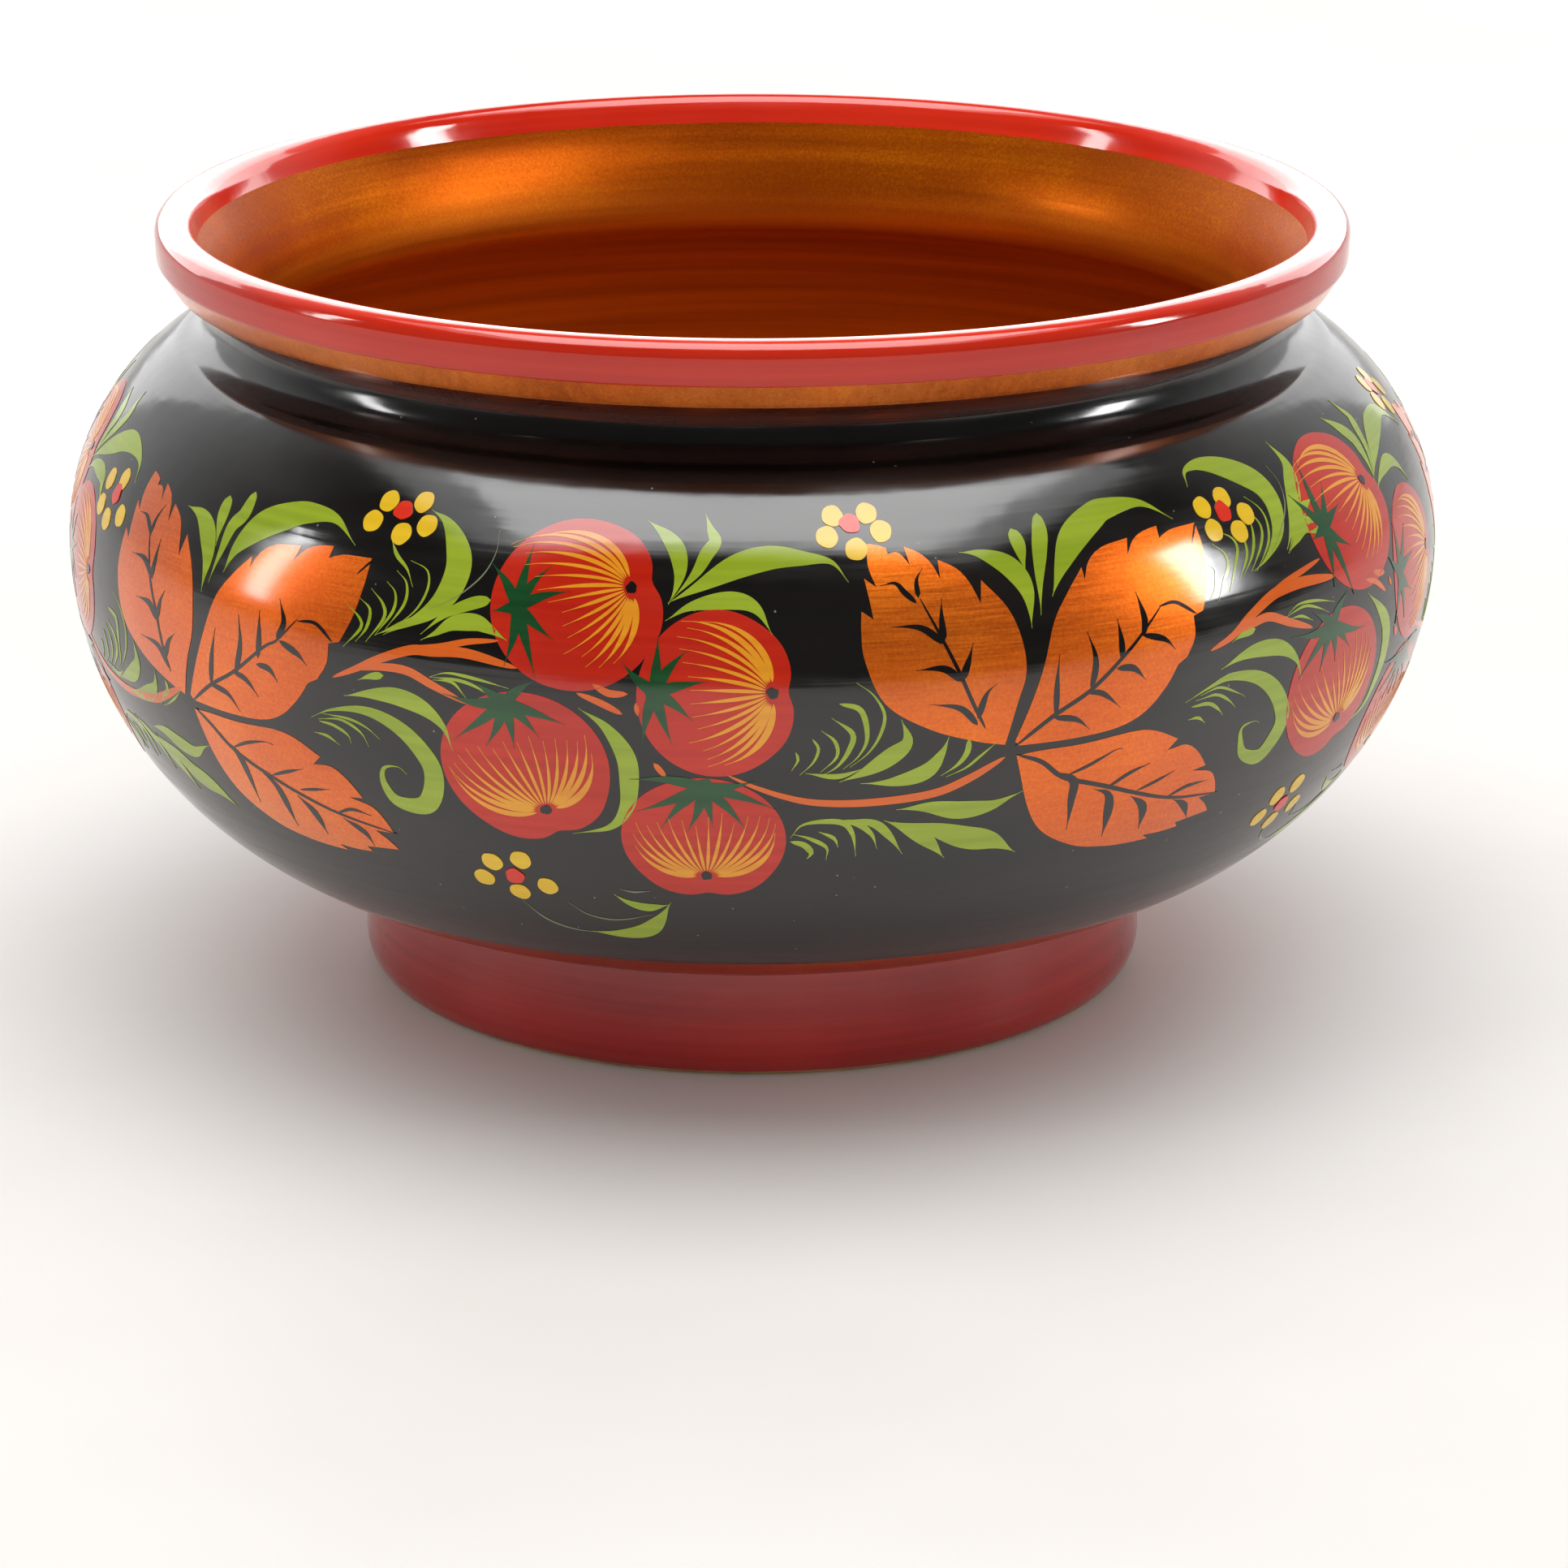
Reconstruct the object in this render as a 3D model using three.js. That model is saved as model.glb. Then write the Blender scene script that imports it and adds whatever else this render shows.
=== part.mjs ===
// Khokhloma painted bowl: a round-bellied bowl turned from lime wood, in millimetres, +Z up.
// The bowl stands on Z = 0 with its axis on Z. Three turned pieces of wood are glued together: the
// body, a rim ring that laps over the neck, and a foot that takes a spigot of the body. Coats of
// primer, tin, enamel and lacquer cover them, each coat a thin turned solid that lies on the wood.
import * as THREE from "three";

// Driving dimensions
const SEGMENTS = 40; // flats around every turned piece
const COAT = 0.4; // thickness of primer, paint and lacquer together
const GLUE = 0.01; // gap left at every glued or painted face

// Belly: two quarter ellipses that meet at the widest ring
const BELLY_RADIUS = 90;
const BELLY_HEIGHT = 59.5;
const LOWER_CENTRE = 43;
const LOWER_DEPTH = 45.5;
const SHOULDER_CENTRE = 60;
const SHOULDER_RISE = 30.5;
const FOOT_JOINT_ANGLE = -79.5; // where the foot meets the underside
const GOLD_LINE_ANGLE = -55; // where the gold of the underside gives way to black
const CREASE_ANGLE = 60.5; // where the shoulder breaks into the neck

// Neck: a hollow moulding under the rim
const NECK_RADIUS = 70.2;
const NECK_TOP = 90.3;
const COVE_CENTRE = 74.6;
const COVE_HEIGHT = 4.2;
const COVE_START = 262;

// Rim: a thick lip with a tapered gold band and an undercut
const RIM_RADIUS = 77.5;
const RIM_TOP = 102.1;
const RIM_WALL_TOP = 100.2;
const RIM_ROUND = 2.1;
const RED_LINE = [77.4, 97.1];
const GOLD_EDGE = [75.6, 94.1];
const LIP_INNER = 72.6;
const LIP_ROUND = 2.2;
const LAP_ANGLE = 23.5; // height of the glued lap, as an angle on the throat's curve

// Inside: throat, a rounded ridge at the neck, and a hollow that follows the belly
const THROAT_CENTRE = 83.4;
const THROAT_BOTTOM = 86.4;
const THROAT_DEPTH = 16.9;
const THROAT_RISE = 16.1;
const THROAT_RED_ANGLE = 48;
const RIDGE_CENTRE = 69.6;
const RIDGE_ROUND = 3.1;
const RIDGE_START = 250;
const WALL = 5; // thickness of the finished wall at the belly
const FLOOR = 20;
const HOLLOW_TOP_ANGLE = 70;

// Foot: a shallow block with an upright wall, hollowed below
const FOOT_RADIUS = 52.2;
const FOOT_WAIST = 51.6;
const FOOT_BULGE = 4; // height of the widest ring of the foot
const FOOT_ROUND = 2.6;
const FOOT_REST_INNER = 42;
const RECESS_RADIUS = 40;
const RECESS_DEPTH = 2.5;
const SPIGOT_RADIUS = 30;
const SPIGOT_BOTTOM = 9;
const ENAMEL_BOTTOM_ANGLE = -50; // the enamel of the foot stops short of the table

// Straight steps that stand for each curve of a profile
const STEPS = {
  footTop: 2,
  underside: 3,
  belly: 6,
  shoulder: 7,
  cove: 4,
  hollow: 8,
  underShoulder: 5,
  ridge: 3,
  lap: 2,
  throat: 2,
  lipOutside: 4,
  lipInside: 2,
  footWall: 3,
};

// Points [radius, height] along an elliptical arc; angles in degrees, 0 pointing outwards, 90 up
function arc(centreRadius, centreHeight, across, up, from, to, steps) {
  const points = [];
  for (let i = 0; i <= steps; i++) {
    const angle = THREE.MathUtils.degToRad(from + ((to - from) * i) / steps);
    points.push([centreRadius + across * Math.cos(angle), centreHeight + up * Math.sin(angle)]);
  }
  return points;
}

// Each curve below is traced at three depths: the finished face, the back of the coat, and the wood.
const FACE = 0;
const BACK = COAT;
const WOOD = COAT + GLUE;

function lowerBelly(depth, from, to, steps) {
  const across = BELLY_RADIUS - LOWER_CENTRE - depth;
  return arc(LOWER_CENTRE, BELLY_HEIGHT, across, LOWER_DEPTH - depth, from, to, steps);
}

function shoulder(depth) {
  const across = BELLY_RADIUS - SHOULDER_CENTRE - depth;
  const up = SHOULDER_RISE - depth;
  return arc(SHOULDER_CENTRE, BELLY_HEIGHT, across, up, 0, CREASE_ANGLE, STEPS.shoulder);
}

function cove(depth) {
  const across = COVE_CENTRE - NECK_RADIUS + depth;
  return arc(COVE_CENTRE, NECK_TOP, across, COVE_HEIGHT + depth, COVE_START, 180, STEPS.cove);
}

// The inside from the middle of the floor to the underside of the shoulder
function hollow(depth) {
  const across = BELLY_RADIUS - WALL - LOWER_CENTRE + depth;
  const up = BELLY_HEIGHT - FLOOR + depth;
  return arc(LOWER_CENTRE, BELLY_HEIGHT, across, up, -90, 0, STEPS.hollow);
}

function underShoulder(depth) {
  const across = BELLY_RADIUS - WALL - SHOULDER_CENTRE + depth;
  const up = SHOULDER_RISE - WALL + depth;
  return arc(SHOULDER_CENTRE, BELLY_HEIGHT, across, up, 0, HOLLOW_TOP_ANGLE, STEPS.underShoulder);
}

// The rounded edge where the hollow turns up into the throat
function ridge(depth) {
  const radius = RIDGE_ROUND - depth;
  return arc(RIDGE_CENTRE, THROAT_BOTTOM, radius, radius, RIDGE_START, 180, STEPS.ridge);
}

function inside(depth) {
  return [...hollow(depth), ...underShoulder(depth).slice(1), ...ridge(depth).slice(1)];
}

function throat(depth, from, to, steps) {
  const across = THROAT_DEPTH - depth;
  return arc(THROAT_CENTRE, THROAT_BOTTOM, -across, THROAT_RISE - depth, from, to, steps);
}

// The lip from the red line on its outside, over the top, to the red line inside the throat
function lip(depth) {
  const across = RIM_ROUND - depth;
  const up = RIM_TOP - RIM_WALL_TOP - depth;
  const inner = LIP_ROUND - depth;
  return [
    [RED_LINE[0] - depth, RED_LINE[1]],
    ...arc(RIM_RADIUS - RIM_ROUND, RIM_WALL_TOP, across, up, 0, 90, STEPS.lipOutside),
    ...arc(LIP_INNER + LIP_ROUND, RIM_TOP - LIP_ROUND, inner, inner, 90, 180, STEPS.lipInside),
    throat(depth, THROAT_RED_ANGLE, THROAT_RED_ANGLE, 1)[0],
  ];
}

function footWall(depth) {
  const across = FOOT_ROUND - depth;
  const up = FOOT_BULGE - depth;
  const jointAngle = THREE.MathUtils.degToRad(FOOT_JOINT_ANGLE);
  return [
    ...arc(FOOT_RADIUS - FOOT_ROUND, FOOT_BULGE, across, up, ENAMEL_BOTTOM_ANGLE, 0, STEPS.footWall),
    [FOOT_WAIST - depth, BELLY_HEIGHT + LOWER_DEPTH * Math.sin(jointAngle)],
  ];
}

function footTop(depth) {
  return lowerBelly(depth, -90, FOOT_JOINT_ANGLE, STEPS.footTop);
}

function underside(depth) {
  return lowerBelly(depth, FOOT_JOINT_ANGLE, GOLD_LINE_ANGLE, STEPS.underside);
}

function belly(depth) {
  const lower = lowerBelly(depth, GOLD_LINE_ANGLE, 0, STEPS.belly);
  return [...lower, ...shoulder(depth).slice(1), ...cove(depth)];
}

function lap(depth) {
  return throat(depth, 0, LAP_ANGLE, STEPS.lap);
}

function throatAboveLap(depth) {
  return throat(depth, LAP_ANGLE, THROAT_RED_ANGLE, STEPS.throat);
}

function reversed(points) {
  return [...points].reverse();
}

// A coat is a strip between its finished face and its back, which lies on the wood.
function strip(face, back) {
  return [...face, ...reversed(back)];
}

function goldEdge(depth) {
  return [GOLD_EDGE[0] - depth, GOLD_EDGE[1] + depth / 2];
}

function neckEdge(depth) {
  return [NECK_RADIUS - BACK, NECK_TOP + depth];
}

const lapHeight = throatAboveLap(WOOD)[0][1];

function bodyProfile() {
  return [
    [0, SPIGOT_BOTTOM],
    [SPIGOT_RADIUS, SPIGOT_BOTTOM],
    [SPIGOT_RADIUS, footTop(WOOD)[0][1]],
    ...footTop(WOOD),
    ...underside(WOOD).slice(1),
    ...belly(WOOD).slice(1),
    [NECK_RADIUS - WOOD, lapHeight],
    ...reversed(lap(WOOD)),
    ...reversed(inside(WOOD)).slice(1),
    [0, inside(WOOD)[0][1]],
  ];
}

function rimProfile() {
  return [
    neckEdge(WOOD),
    goldEdge(WOOD),
    ...lip(WOOD),
    ...reversed(throatAboveLap(WOOD)).slice(1, -1),
    [throatAboveLap(WOOD)[0][0], lapHeight + GLUE],
    [NECK_RADIUS - BACK, lapHeight + GLUE],
  ];
}

function footProfile() {
  const wall = footWall(WOOD);
  return [
    [0, RECESS_DEPTH],
    [RECESS_RADIUS, RECESS_DEPTH],
    [FOOT_REST_INNER, 0],
    [FOOT_RADIUS - FOOT_ROUND, 0],
    ...wall,
    ...reversed(footTop(BACK)).slice(1),
    [SPIGOT_RADIUS + GLUE, footTop(BACK)[0][1]],
    [SPIGOT_RADIUS + GLUE, SPIGOT_BOTTOM - GLUE],
    [0, SPIGOT_BOTTOM - GLUE],
  ];
}

function gildingProfile() {
  const face = [...inside(FACE), ...lap(FACE).slice(1), ...throatAboveLap(FACE).slice(1)];
  const back = [...inside(BACK), ...lap(BACK).slice(1), ...throatAboveLap(BACK).slice(1)];
  return [[0, back[0][1]], ...back, ...reversed(face), [0, face[0][1]]];
}

// Materials: name, colour, roughness, metalness
const FINISHES = {
  wood: [0xc89b66, 0.6, 0],
  gilding: [0xb5690f, 0.35, 0.6],
  black: [0x141311, 0.15, 0],
  red: [0xc42a1c, 0.15, 0],
  goldBand: [0xc8691f, 0.3, 0.4],
  undercut: [0x5a2410, 0.3, 0.2],
  footRed: [0x8f1f18, 0.2, 0],
};

function turned(name, profile, finish) {
  const [color, roughness, metalness] = FINISHES[finish];
  const outline = profile.map(([radius, height]) => new THREE.Vector2(radius, height));
  const onAxis = outline[0].x === 0;
  if (!onAxis) outline.push(outline[0].clone());
  const geometry = new THREE.LatheGeometry(outline, SEGMENTS);
  geometry.rotateX(Math.PI / 2);
  const mesh = new THREE.Mesh(geometry, new THREE.MeshStandardMaterial({ color, roughness, metalness }));
  mesh.name = name;
  return mesh;
}

const neckFace = [NECK_RADIUS, NECK_TOP];
const bowl = new THREE.Group();
bowl.add(
  turned("bowl_body", bodyProfile(), "wood"),
  turned("rim_ring", rimProfile(), "wood"),
  turned("foot_block", footProfile(), "wood"),
  turned("interior_gilding", gildingProfile(), "gilding"),
  turned("black_ground_coat", strip(belly(FACE), belly(BACK)), "black"),
  turned("underside_gold_band", strip(underside(FACE), underside(BACK)), "goldBand"),
  turned("rim_red_enamel", strip(lip(FACE), lip(BACK)), "red"),
  turned("rim_gold_band", strip([GOLD_EDGE, RED_LINE], [goldEdge(BACK), lip(BACK)[0]]), "goldBand"),
  turned("rim_undercut_band", strip([neckFace, GOLD_EDGE], [neckEdge(BACK), goldEdge(BACK)]), "undercut"),
  turned("foot_red_enamel", strip(footWall(FACE), footWall(BACK)), "footRed"),
);

export default bowl;
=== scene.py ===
"""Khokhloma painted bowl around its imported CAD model: Blender 4.5, metres, +Z up.

Sizes are written in millimetres and turned into metres where meshes are made. The wood and its coats
are turned sections. The painted ornament is thin paint films laid on the black ground: each film is
drawn on a chart of the belly and then wrapped round it. A chart point is (degrees round from the front
towards +X, millimetres down the surface from the crease below the neck).
"""

import math
import random

import bpy
import numpy as np
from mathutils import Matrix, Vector
from mathutils.geometry import delaunay_2d_cdt


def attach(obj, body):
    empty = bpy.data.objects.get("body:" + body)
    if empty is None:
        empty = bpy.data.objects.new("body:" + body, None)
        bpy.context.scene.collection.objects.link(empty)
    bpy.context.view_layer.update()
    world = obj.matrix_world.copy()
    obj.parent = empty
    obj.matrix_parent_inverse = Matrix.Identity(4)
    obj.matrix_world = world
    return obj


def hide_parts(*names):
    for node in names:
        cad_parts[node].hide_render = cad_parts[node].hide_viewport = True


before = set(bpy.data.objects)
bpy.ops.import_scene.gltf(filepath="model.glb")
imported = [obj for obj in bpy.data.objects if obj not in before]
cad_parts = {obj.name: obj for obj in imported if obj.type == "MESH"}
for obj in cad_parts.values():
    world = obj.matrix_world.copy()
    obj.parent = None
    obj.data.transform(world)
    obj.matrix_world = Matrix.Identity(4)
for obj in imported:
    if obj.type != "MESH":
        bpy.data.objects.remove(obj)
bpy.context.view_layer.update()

MM = 0.001
SEGMENTS = 288  # faces round each turned piece
SECTION_STEP = 1.1  # mm between points along a turned section
SHARP_ANGLE = 32  # degrees at an edge of a turned piece from which it isn't shaded smooth

# ---- sizes, as in the CAD part
COAT = 0.4
GLUE = 0.01
WOOD = COAT + GLUE
BELLY_RADIUS = 90
BELLY_HEIGHT = 59.5
LOWER_CENTRE = 43
LOWER_DEPTH = 45.5
SHOULDER_CENTRE = 60
SHOULDER_RISE = 30.5
FOOT_JOINT_ANGLE = -79.5
GOLD_LINE_ANGLE = -55
CREASE_ANGLE = 60.5
NECK_RADIUS = 70.2
NECK_TOP = 90.3
COVE_CENTRE = 74.6
COVE_HEIGHT = 4.2
COVE_START = 262
RIM_RADIUS = 77.5
RIM_TOP = 102.1
RIM_WALL_TOP = 100.2
RIM_ROUND = 2.1
RED_LINE = (77.4, 97.1)
GOLD_EDGE = (75.6, 94.1)
LIP_INNER = 72.6
LIP_ROUND = 2.2
LAP_ANGLE = 23.5
THROAT_CENTRE = 83.4
THROAT_BOTTOM = 86.4
THROAT_DEPTH = 16.9
THROAT_RISE = 16.1
THROAT_RED_ANGLE = 48
RIDGE_CENTRE = 69.6
RIDGE_ROUND = 3.1
RIDGE_START = 250
WALL = 5
FLOOR = 20
HOLLOW_TOP_ANGLE = 70
FOOT_RADIUS = 52.2
FOOT_WAIST = 51.6
FOOT_BULGE = 4
FOOT_ROUND = 2.6
FOOT_REST_INNER = 42
RECESS_RADIUS = 40
RECESS_DEPTH = 2.5
SPIGOT_RADIUS = 30
SPIGOT_BOTTOM = 9
ENAMEL_BOTTOM_ANGLE = -50

# Heights of the paint, as depths below the CAD face: every film stays inside the CAD box
GROUND_DEPTH = 0.13
FILM_ROOT = 0.16
FIRST_FILM = 0.08
SECOND_FILM = 0.05
THIRD_FILM = 0.02
BAND_DEPTH = 0.12  # the gold band lies lower than the thick red enamel beside it
EDGE_ROUND = 0.4  # worn rounding of the gold band's lower edge
CORNER_ROUND = 0.25  # of the red enamel where it laps over its corner
RED_LAP = 0.3
EDGE_SUPPORT = 1.5  # mm from the undercut's edge to a line of points that keeps its shading flat

# How far hand-painted edges wander to each side: degrees for the first two, then mm
GOLD_LINE_STRAY = 0.35
THROAT_LINE_STRAY = 0.5
RED_LAP_STRAY = 0.17


# ---- turned sections
def arc(centre_r, centre_z, across, up, start, end, steps=None):
    """Points (radius, height) along an elliptical arc; angles in degrees, 0 outwards, 90 up."""
    length = math.radians(abs(end - start)) * max(abs(across), abs(up))
    steps = steps or max(4, math.ceil(length / SECTION_STEP))
    angles = np.radians(np.linspace(start, end, steps + 1))
    return [(centre_r + across * math.cos(a), centre_z + up * math.sin(a)) for a in angles]


def lower_belly(depth, start, end, steps=None):
    across = BELLY_RADIUS - LOWER_CENTRE - depth
    return arc(LOWER_CENTRE, BELLY_HEIGHT, across, LOWER_DEPTH - depth, start, end, steps)


def shoulder(depth):
    across = BELLY_RADIUS - SHOULDER_CENTRE - depth
    return arc(SHOULDER_CENTRE, BELLY_HEIGHT, across, SHOULDER_RISE - depth, 0, CREASE_ANGLE)


def cove(depth):
    across = COVE_CENTRE - NECK_RADIUS + depth
    return arc(COVE_CENTRE, NECK_TOP, across, COVE_HEIGHT + depth, COVE_START, 180)


def inside(depth):
    low_across = BELLY_RADIUS - WALL - LOWER_CENTRE + depth
    low_up = BELLY_HEIGHT - FLOOR + depth
    high_across = BELLY_RADIUS - WALL - SHOULDER_CENTRE + depth
    high_up = SHOULDER_RISE - WALL + depth
    ridge = RIDGE_ROUND - depth
    return [
        *arc(LOWER_CENTRE, BELLY_HEIGHT, low_across, low_up, -90, 0),
        *arc(SHOULDER_CENTRE, BELLY_HEIGHT, high_across, high_up, 0, HOLLOW_TOP_ANGLE)[1:],
        *arc(RIDGE_CENTRE, THROAT_BOTTOM, ridge, ridge, RIDGE_START, 180)[1:],
    ]


def throat(depth, start, end, steps=None):
    across = THROAT_DEPTH - depth
    return arc(THROAT_CENTRE, THROAT_BOTTOM, -across, THROAT_RISE - depth, start, end, steps)


def lip(depth, throat_angle):
    """From the outer wall over the top of the lip to the red line inside the throat."""
    across = RIM_ROUND - depth
    up = RIM_TOP - RIM_WALL_TOP - depth
    inner = LIP_ROUND - depth
    return [
        *arc(RIM_RADIUS - RIM_ROUND, RIM_WALL_TOP, across, up, 0, 90),
        *arc(LIP_INNER + LIP_ROUND, RIM_TOP - LIP_ROUND, inner, inner, 90, 180),
        throat(depth, throat_angle, throat_angle + 1)[0],
    ]


def foot_wall(depth):
    across = FOOT_ROUND - depth
    up = FOOT_BULGE - depth
    top = BELLY_HEIGHT + LOWER_DEPTH * math.sin(math.radians(FOOT_JOINT_ANGLE))
    return [
        *arc(FOOT_RADIUS - FOOT_ROUND, FOOT_BULGE, across, up, ENAMEL_BOTTOM_ANGLE, 0),
        (FOOT_WAIST - depth, top),
    ]


def foot_top(depth):
    return lower_belly(depth, -90, FOOT_JOINT_ANGLE)


def belly(depth, start):
    return [*lower_belly(depth, start, 0, 40), *shoulder(depth)[1:], *cove(depth)]


def strip(face, back):
    return [*face, *reversed(back)]


def towards(start, end, distance):
    """The point that lies distance mm from start on the way to end."""
    length = math.dist(start, end)
    return tuple(s + (e - s) * distance / length for s, e in zip(start, end))


def rounded(before, corner, after, radius):
    """Points that cut a corner with a curve that starts and ends radius mm from it."""
    first, last = towards(corner, before, radius), towards(corner, after, radius)
    points = []
    for t in np.linspace(0, 1, 6):
        blend = ((1 - t) ** 2, 2 * t * (1 - t), t * t)
        points.append(tuple(np.dot(blend, axis) for axis in zip(first, corner, last)))
    return points


def wander(turn, seed):
    """How far a hand-painted line strays at this angle round the bowl, from about -1 to 1."""
    rng = random.Random(seed)
    waves = (2, 3, 5, 8, 13, 21, 34)
    total = sum(math.sin(n * turn + rng.uniform(0, math.tau)) / n**0.6 for n in waves)
    return total / 2.2


def gold_line(turn):
    return GOLD_LINE_ANGLE + GOLD_LINE_STRAY * wander(turn, 1)


def throat_line(turn):
    return THROAT_RED_ANGLE + THROAT_LINE_STRAY * wander(turn, 2)


def red_edge(turn, depth):
    """Lower edge of the red enamel, which laps a little over the corner onto the gold band."""
    drop = RED_LAP + RED_LAP_STRAY * wander(turn, 3)
    r, z = towards(RED_LINE, GOLD_EDGE, drop)
    return (r - depth, z)


def undercut_start():
    return towards(GOLD_EDGE, (NECK_RADIUS, NECK_TOP), EDGE_ROUND)


def lap_height():
    """Height at which the rim's wood laps over the body's, inside the throat."""
    return throat(WOOD, LAP_ANGLE, LAP_ANGLE + 1)[0][1]


def body_section(turn):
    return [
        (0, SPIGOT_BOTTOM),
        (SPIGOT_RADIUS, SPIGOT_BOTTOM),
        (SPIGOT_RADIUS, foot_top(WOOD)[0][1]),
        *foot_top(WOOD),
        *lower_belly(WOOD, FOOT_JOINT_ANGLE, GOLD_LINE_ANGLE)[1:],
        *belly(WOOD, GOLD_LINE_ANGLE)[1:],
        (NECK_RADIUS - WOOD, lap_height()),
        *reversed(throat(WOOD, 0, LAP_ANGLE)),
        *list(reversed(inside(WOOD)))[1:],
        (0, inside(WOOD)[0][1]),
    ]


def rim_section(turn):
    above_lap = throat(WOOD, LAP_ANGLE, THROAT_RED_ANGLE)
    return [
        (NECK_RADIUS - COAT, NECK_TOP + WOOD),
        (GOLD_EDGE[0] - WOOD, GOLD_EDGE[1] + WOOD / 2),
        (RED_LINE[0] - WOOD, RED_LINE[1]),
        *lip(WOOD, THROAT_RED_ANGLE),
        *list(reversed(above_lap))[1:-1],
        (above_lap[0][0], lap_height() + GLUE),
        (NECK_RADIUS - COAT, lap_height() + GLUE),
    ]


def foot_section(turn):
    top = list(reversed(foot_top(COAT)))[1:]
    return [
        (0, RECESS_DEPTH),
        (RECESS_RADIUS, RECESS_DEPTH),
        (FOOT_REST_INNER, 0),
        (FOOT_RADIUS - FOOT_ROUND, 0),
        *foot_wall(WOOD),
        *top,
        (SPIGOT_RADIUS + GLUE, top[-1][1]),
        (SPIGOT_RADIUS + GLUE, SPIGOT_BOTTOM - GLUE),
        (0, SPIGOT_BOTTOM - GLUE),
    ]


def gilding_section(turn):
    face = [*inside(0), *throat(0, 0, throat_line(turn), 12)[1:]]
    back = [*inside(COAT), *throat(COAT, 0, throat_line(turn), 12)[1:]]
    return [(0, back[0][1]), *back, *reversed(face), (0, face[0][1])]


def ground_section(turn):
    line = gold_line(turn)
    return strip(belly(GROUND_DEPTH, line), belly(COAT, line))


def underside_section(turn):
    line = gold_line(turn)
    face = lower_belly(GROUND_DEPTH, FOOT_JOINT_ANGLE, line, 18)
    return strip(face, lower_belly(COAT, FOOT_JOINT_ANGLE, line, 18))


def enamel_section(turn):
    wall_top = (RIM_RADIUS, RIM_WALL_TOP)
    corner = rounded(red_edge(turn, 0), RED_LINE, wall_top, CORNER_ROUND)
    face = [red_edge(turn, 0), *corner, *lip(0, throat_line(turn))]
    back = [red_edge(turn, COAT), (RED_LINE[0] - COAT, RED_LINE[1]), *lip(COAT, throat_line(turn))]
    return strip(face, back)


def band_section(turn):
    top = red_edge(turn, BAND_DEPTH)
    edge = (GOLD_EDGE[0] - BAND_DEPTH, GOLD_EDGE[1])
    face = [*reversed(rounded(top, edge, undercut_start(), EDGE_ROUND)), top]
    start = undercut_start()
    return strip(face, [(start[0], start[1] + COAT), red_edge(turn, COAT)])


def undercut_section(turn):
    start = undercut_start()
    face = [(NECK_RADIUS, NECK_TOP), towards(start, (NECK_RADIUS, NECK_TOP), EDGE_SUPPORT), start]
    return strip(face, [(r, z + COAT) for r, z in face])


def foot_enamel_section(turn):
    return strip(foot_wall(0), foot_wall(COAT))


# ---- meshes
def add_object(name, data):
    thing = bpy.data.objects.new(name, data)
    bpy.context.scene.collection.objects.link(thing)
    return thing


def add_piece(name, vertices, faces, material):
    """A smooth mesh piece of the bowl, from points in mm."""
    mesh = bpy.data.meshes.new(name)
    mesh.from_pydata([tuple(p) for p in np.asarray(vertices) * MM], [], faces)
    mesh.validate()
    mesh.update()
    mesh.shade_smooth()
    mesh.materials.append(material)
    piece = add_object(name, mesh)
    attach(piece, "root")
    return piece


def turned(name, section, material, node):
    """Revolves section(turn), a closed outline that may start and end on the axis."""
    turns = np.linspace(0, math.tau, SEGMENTS, endpoint=False)
    outlines = [section(turn) for turn in turns]
    on_axis = outlines[0][0][0] == 0
    vertices = []
    for turn, outline in zip(turns, outlines):
        ring = outline[1:-1] if on_axis else outline
        vertices += [(r * math.sin(turn), -r * math.cos(turn), z) for r, z in ring]
    count, first_end = len(ring), len(vertices)
    if on_axis:
        vertices += [(0, 0, outlines[0][0][1]), (0, 0, outlines[0][-1][1])]
    faces = []
    for i in range(SEGMENTS):
        here, there = i * count, (i + 1) % SEGMENTS * count
        for j in range(count - on_axis):
            k = (j + 1) % count
            faces.append((here + j, there + j, there + k, here + k))
        if on_axis:
            faces.append((first_end, there, here))
            faces.append((first_end + 1, here + count - 1, there + count - 1))
    piece = add_piece(name, vertices, faces, material)
    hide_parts(node)
    piece.data.set_sharp_from_angle(angle=math.radians(SHARP_ANGLE))
    return piece


# The belly's surface from the crease down to the gold line, for laying films on it
chart_angles = np.radians(np.linspace(CREASE_ANGLE, GOLD_LINE_ANGLE, 1200))
across_at = np.where(chart_angles > 0, BELLY_RADIUS - SHOULDER_CENTRE, BELLY_RADIUS - LOWER_CENTRE)
up_at = np.where(chart_angles > 0, SHOULDER_RISE, LOWER_DEPTH)
centre_at = np.where(chart_angles > 0, SHOULDER_CENTRE, LOWER_CENTRE)
chart_r = centre_at + across_at * np.cos(chart_angles)
chart_z = BELLY_HEIGHT + up_at * np.sin(chart_angles)
chart_down = np.concatenate([[0], np.cumsum(np.hypot(np.diff(chart_r), np.diff(chart_z)))])
normal_r = np.cos(chart_angles) / across_at
normal_z = np.sin(chart_angles) / up_at
normal_length = np.hypot(normal_r, normal_z)
normal_r, normal_z = normal_r / normal_length, normal_z / normal_length
MM_PER_DEGREE = math.radians(1) * BELLY_RADIUS


def wrap(points, depth):
    """Chart points, in mm, as places and outward normals on the belly at a depth below its face."""
    turn = np.radians(points[:, 0] / MM_PER_DEGREE)
    r = np.interp(points[:, 1], chart_down, chart_r)
    z = np.interp(points[:, 1], chart_down, chart_z)
    out = np.interp(points[:, 1], chart_down, normal_r)
    up = np.interp(points[:, 1], chart_down, normal_z)
    normals = np.column_stack([out * np.sin(turn), -out * np.cos(turn), up])
    places = np.column_stack([r * np.sin(turn), -r * np.cos(turn), z])
    return places - depth * normals, normals


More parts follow.
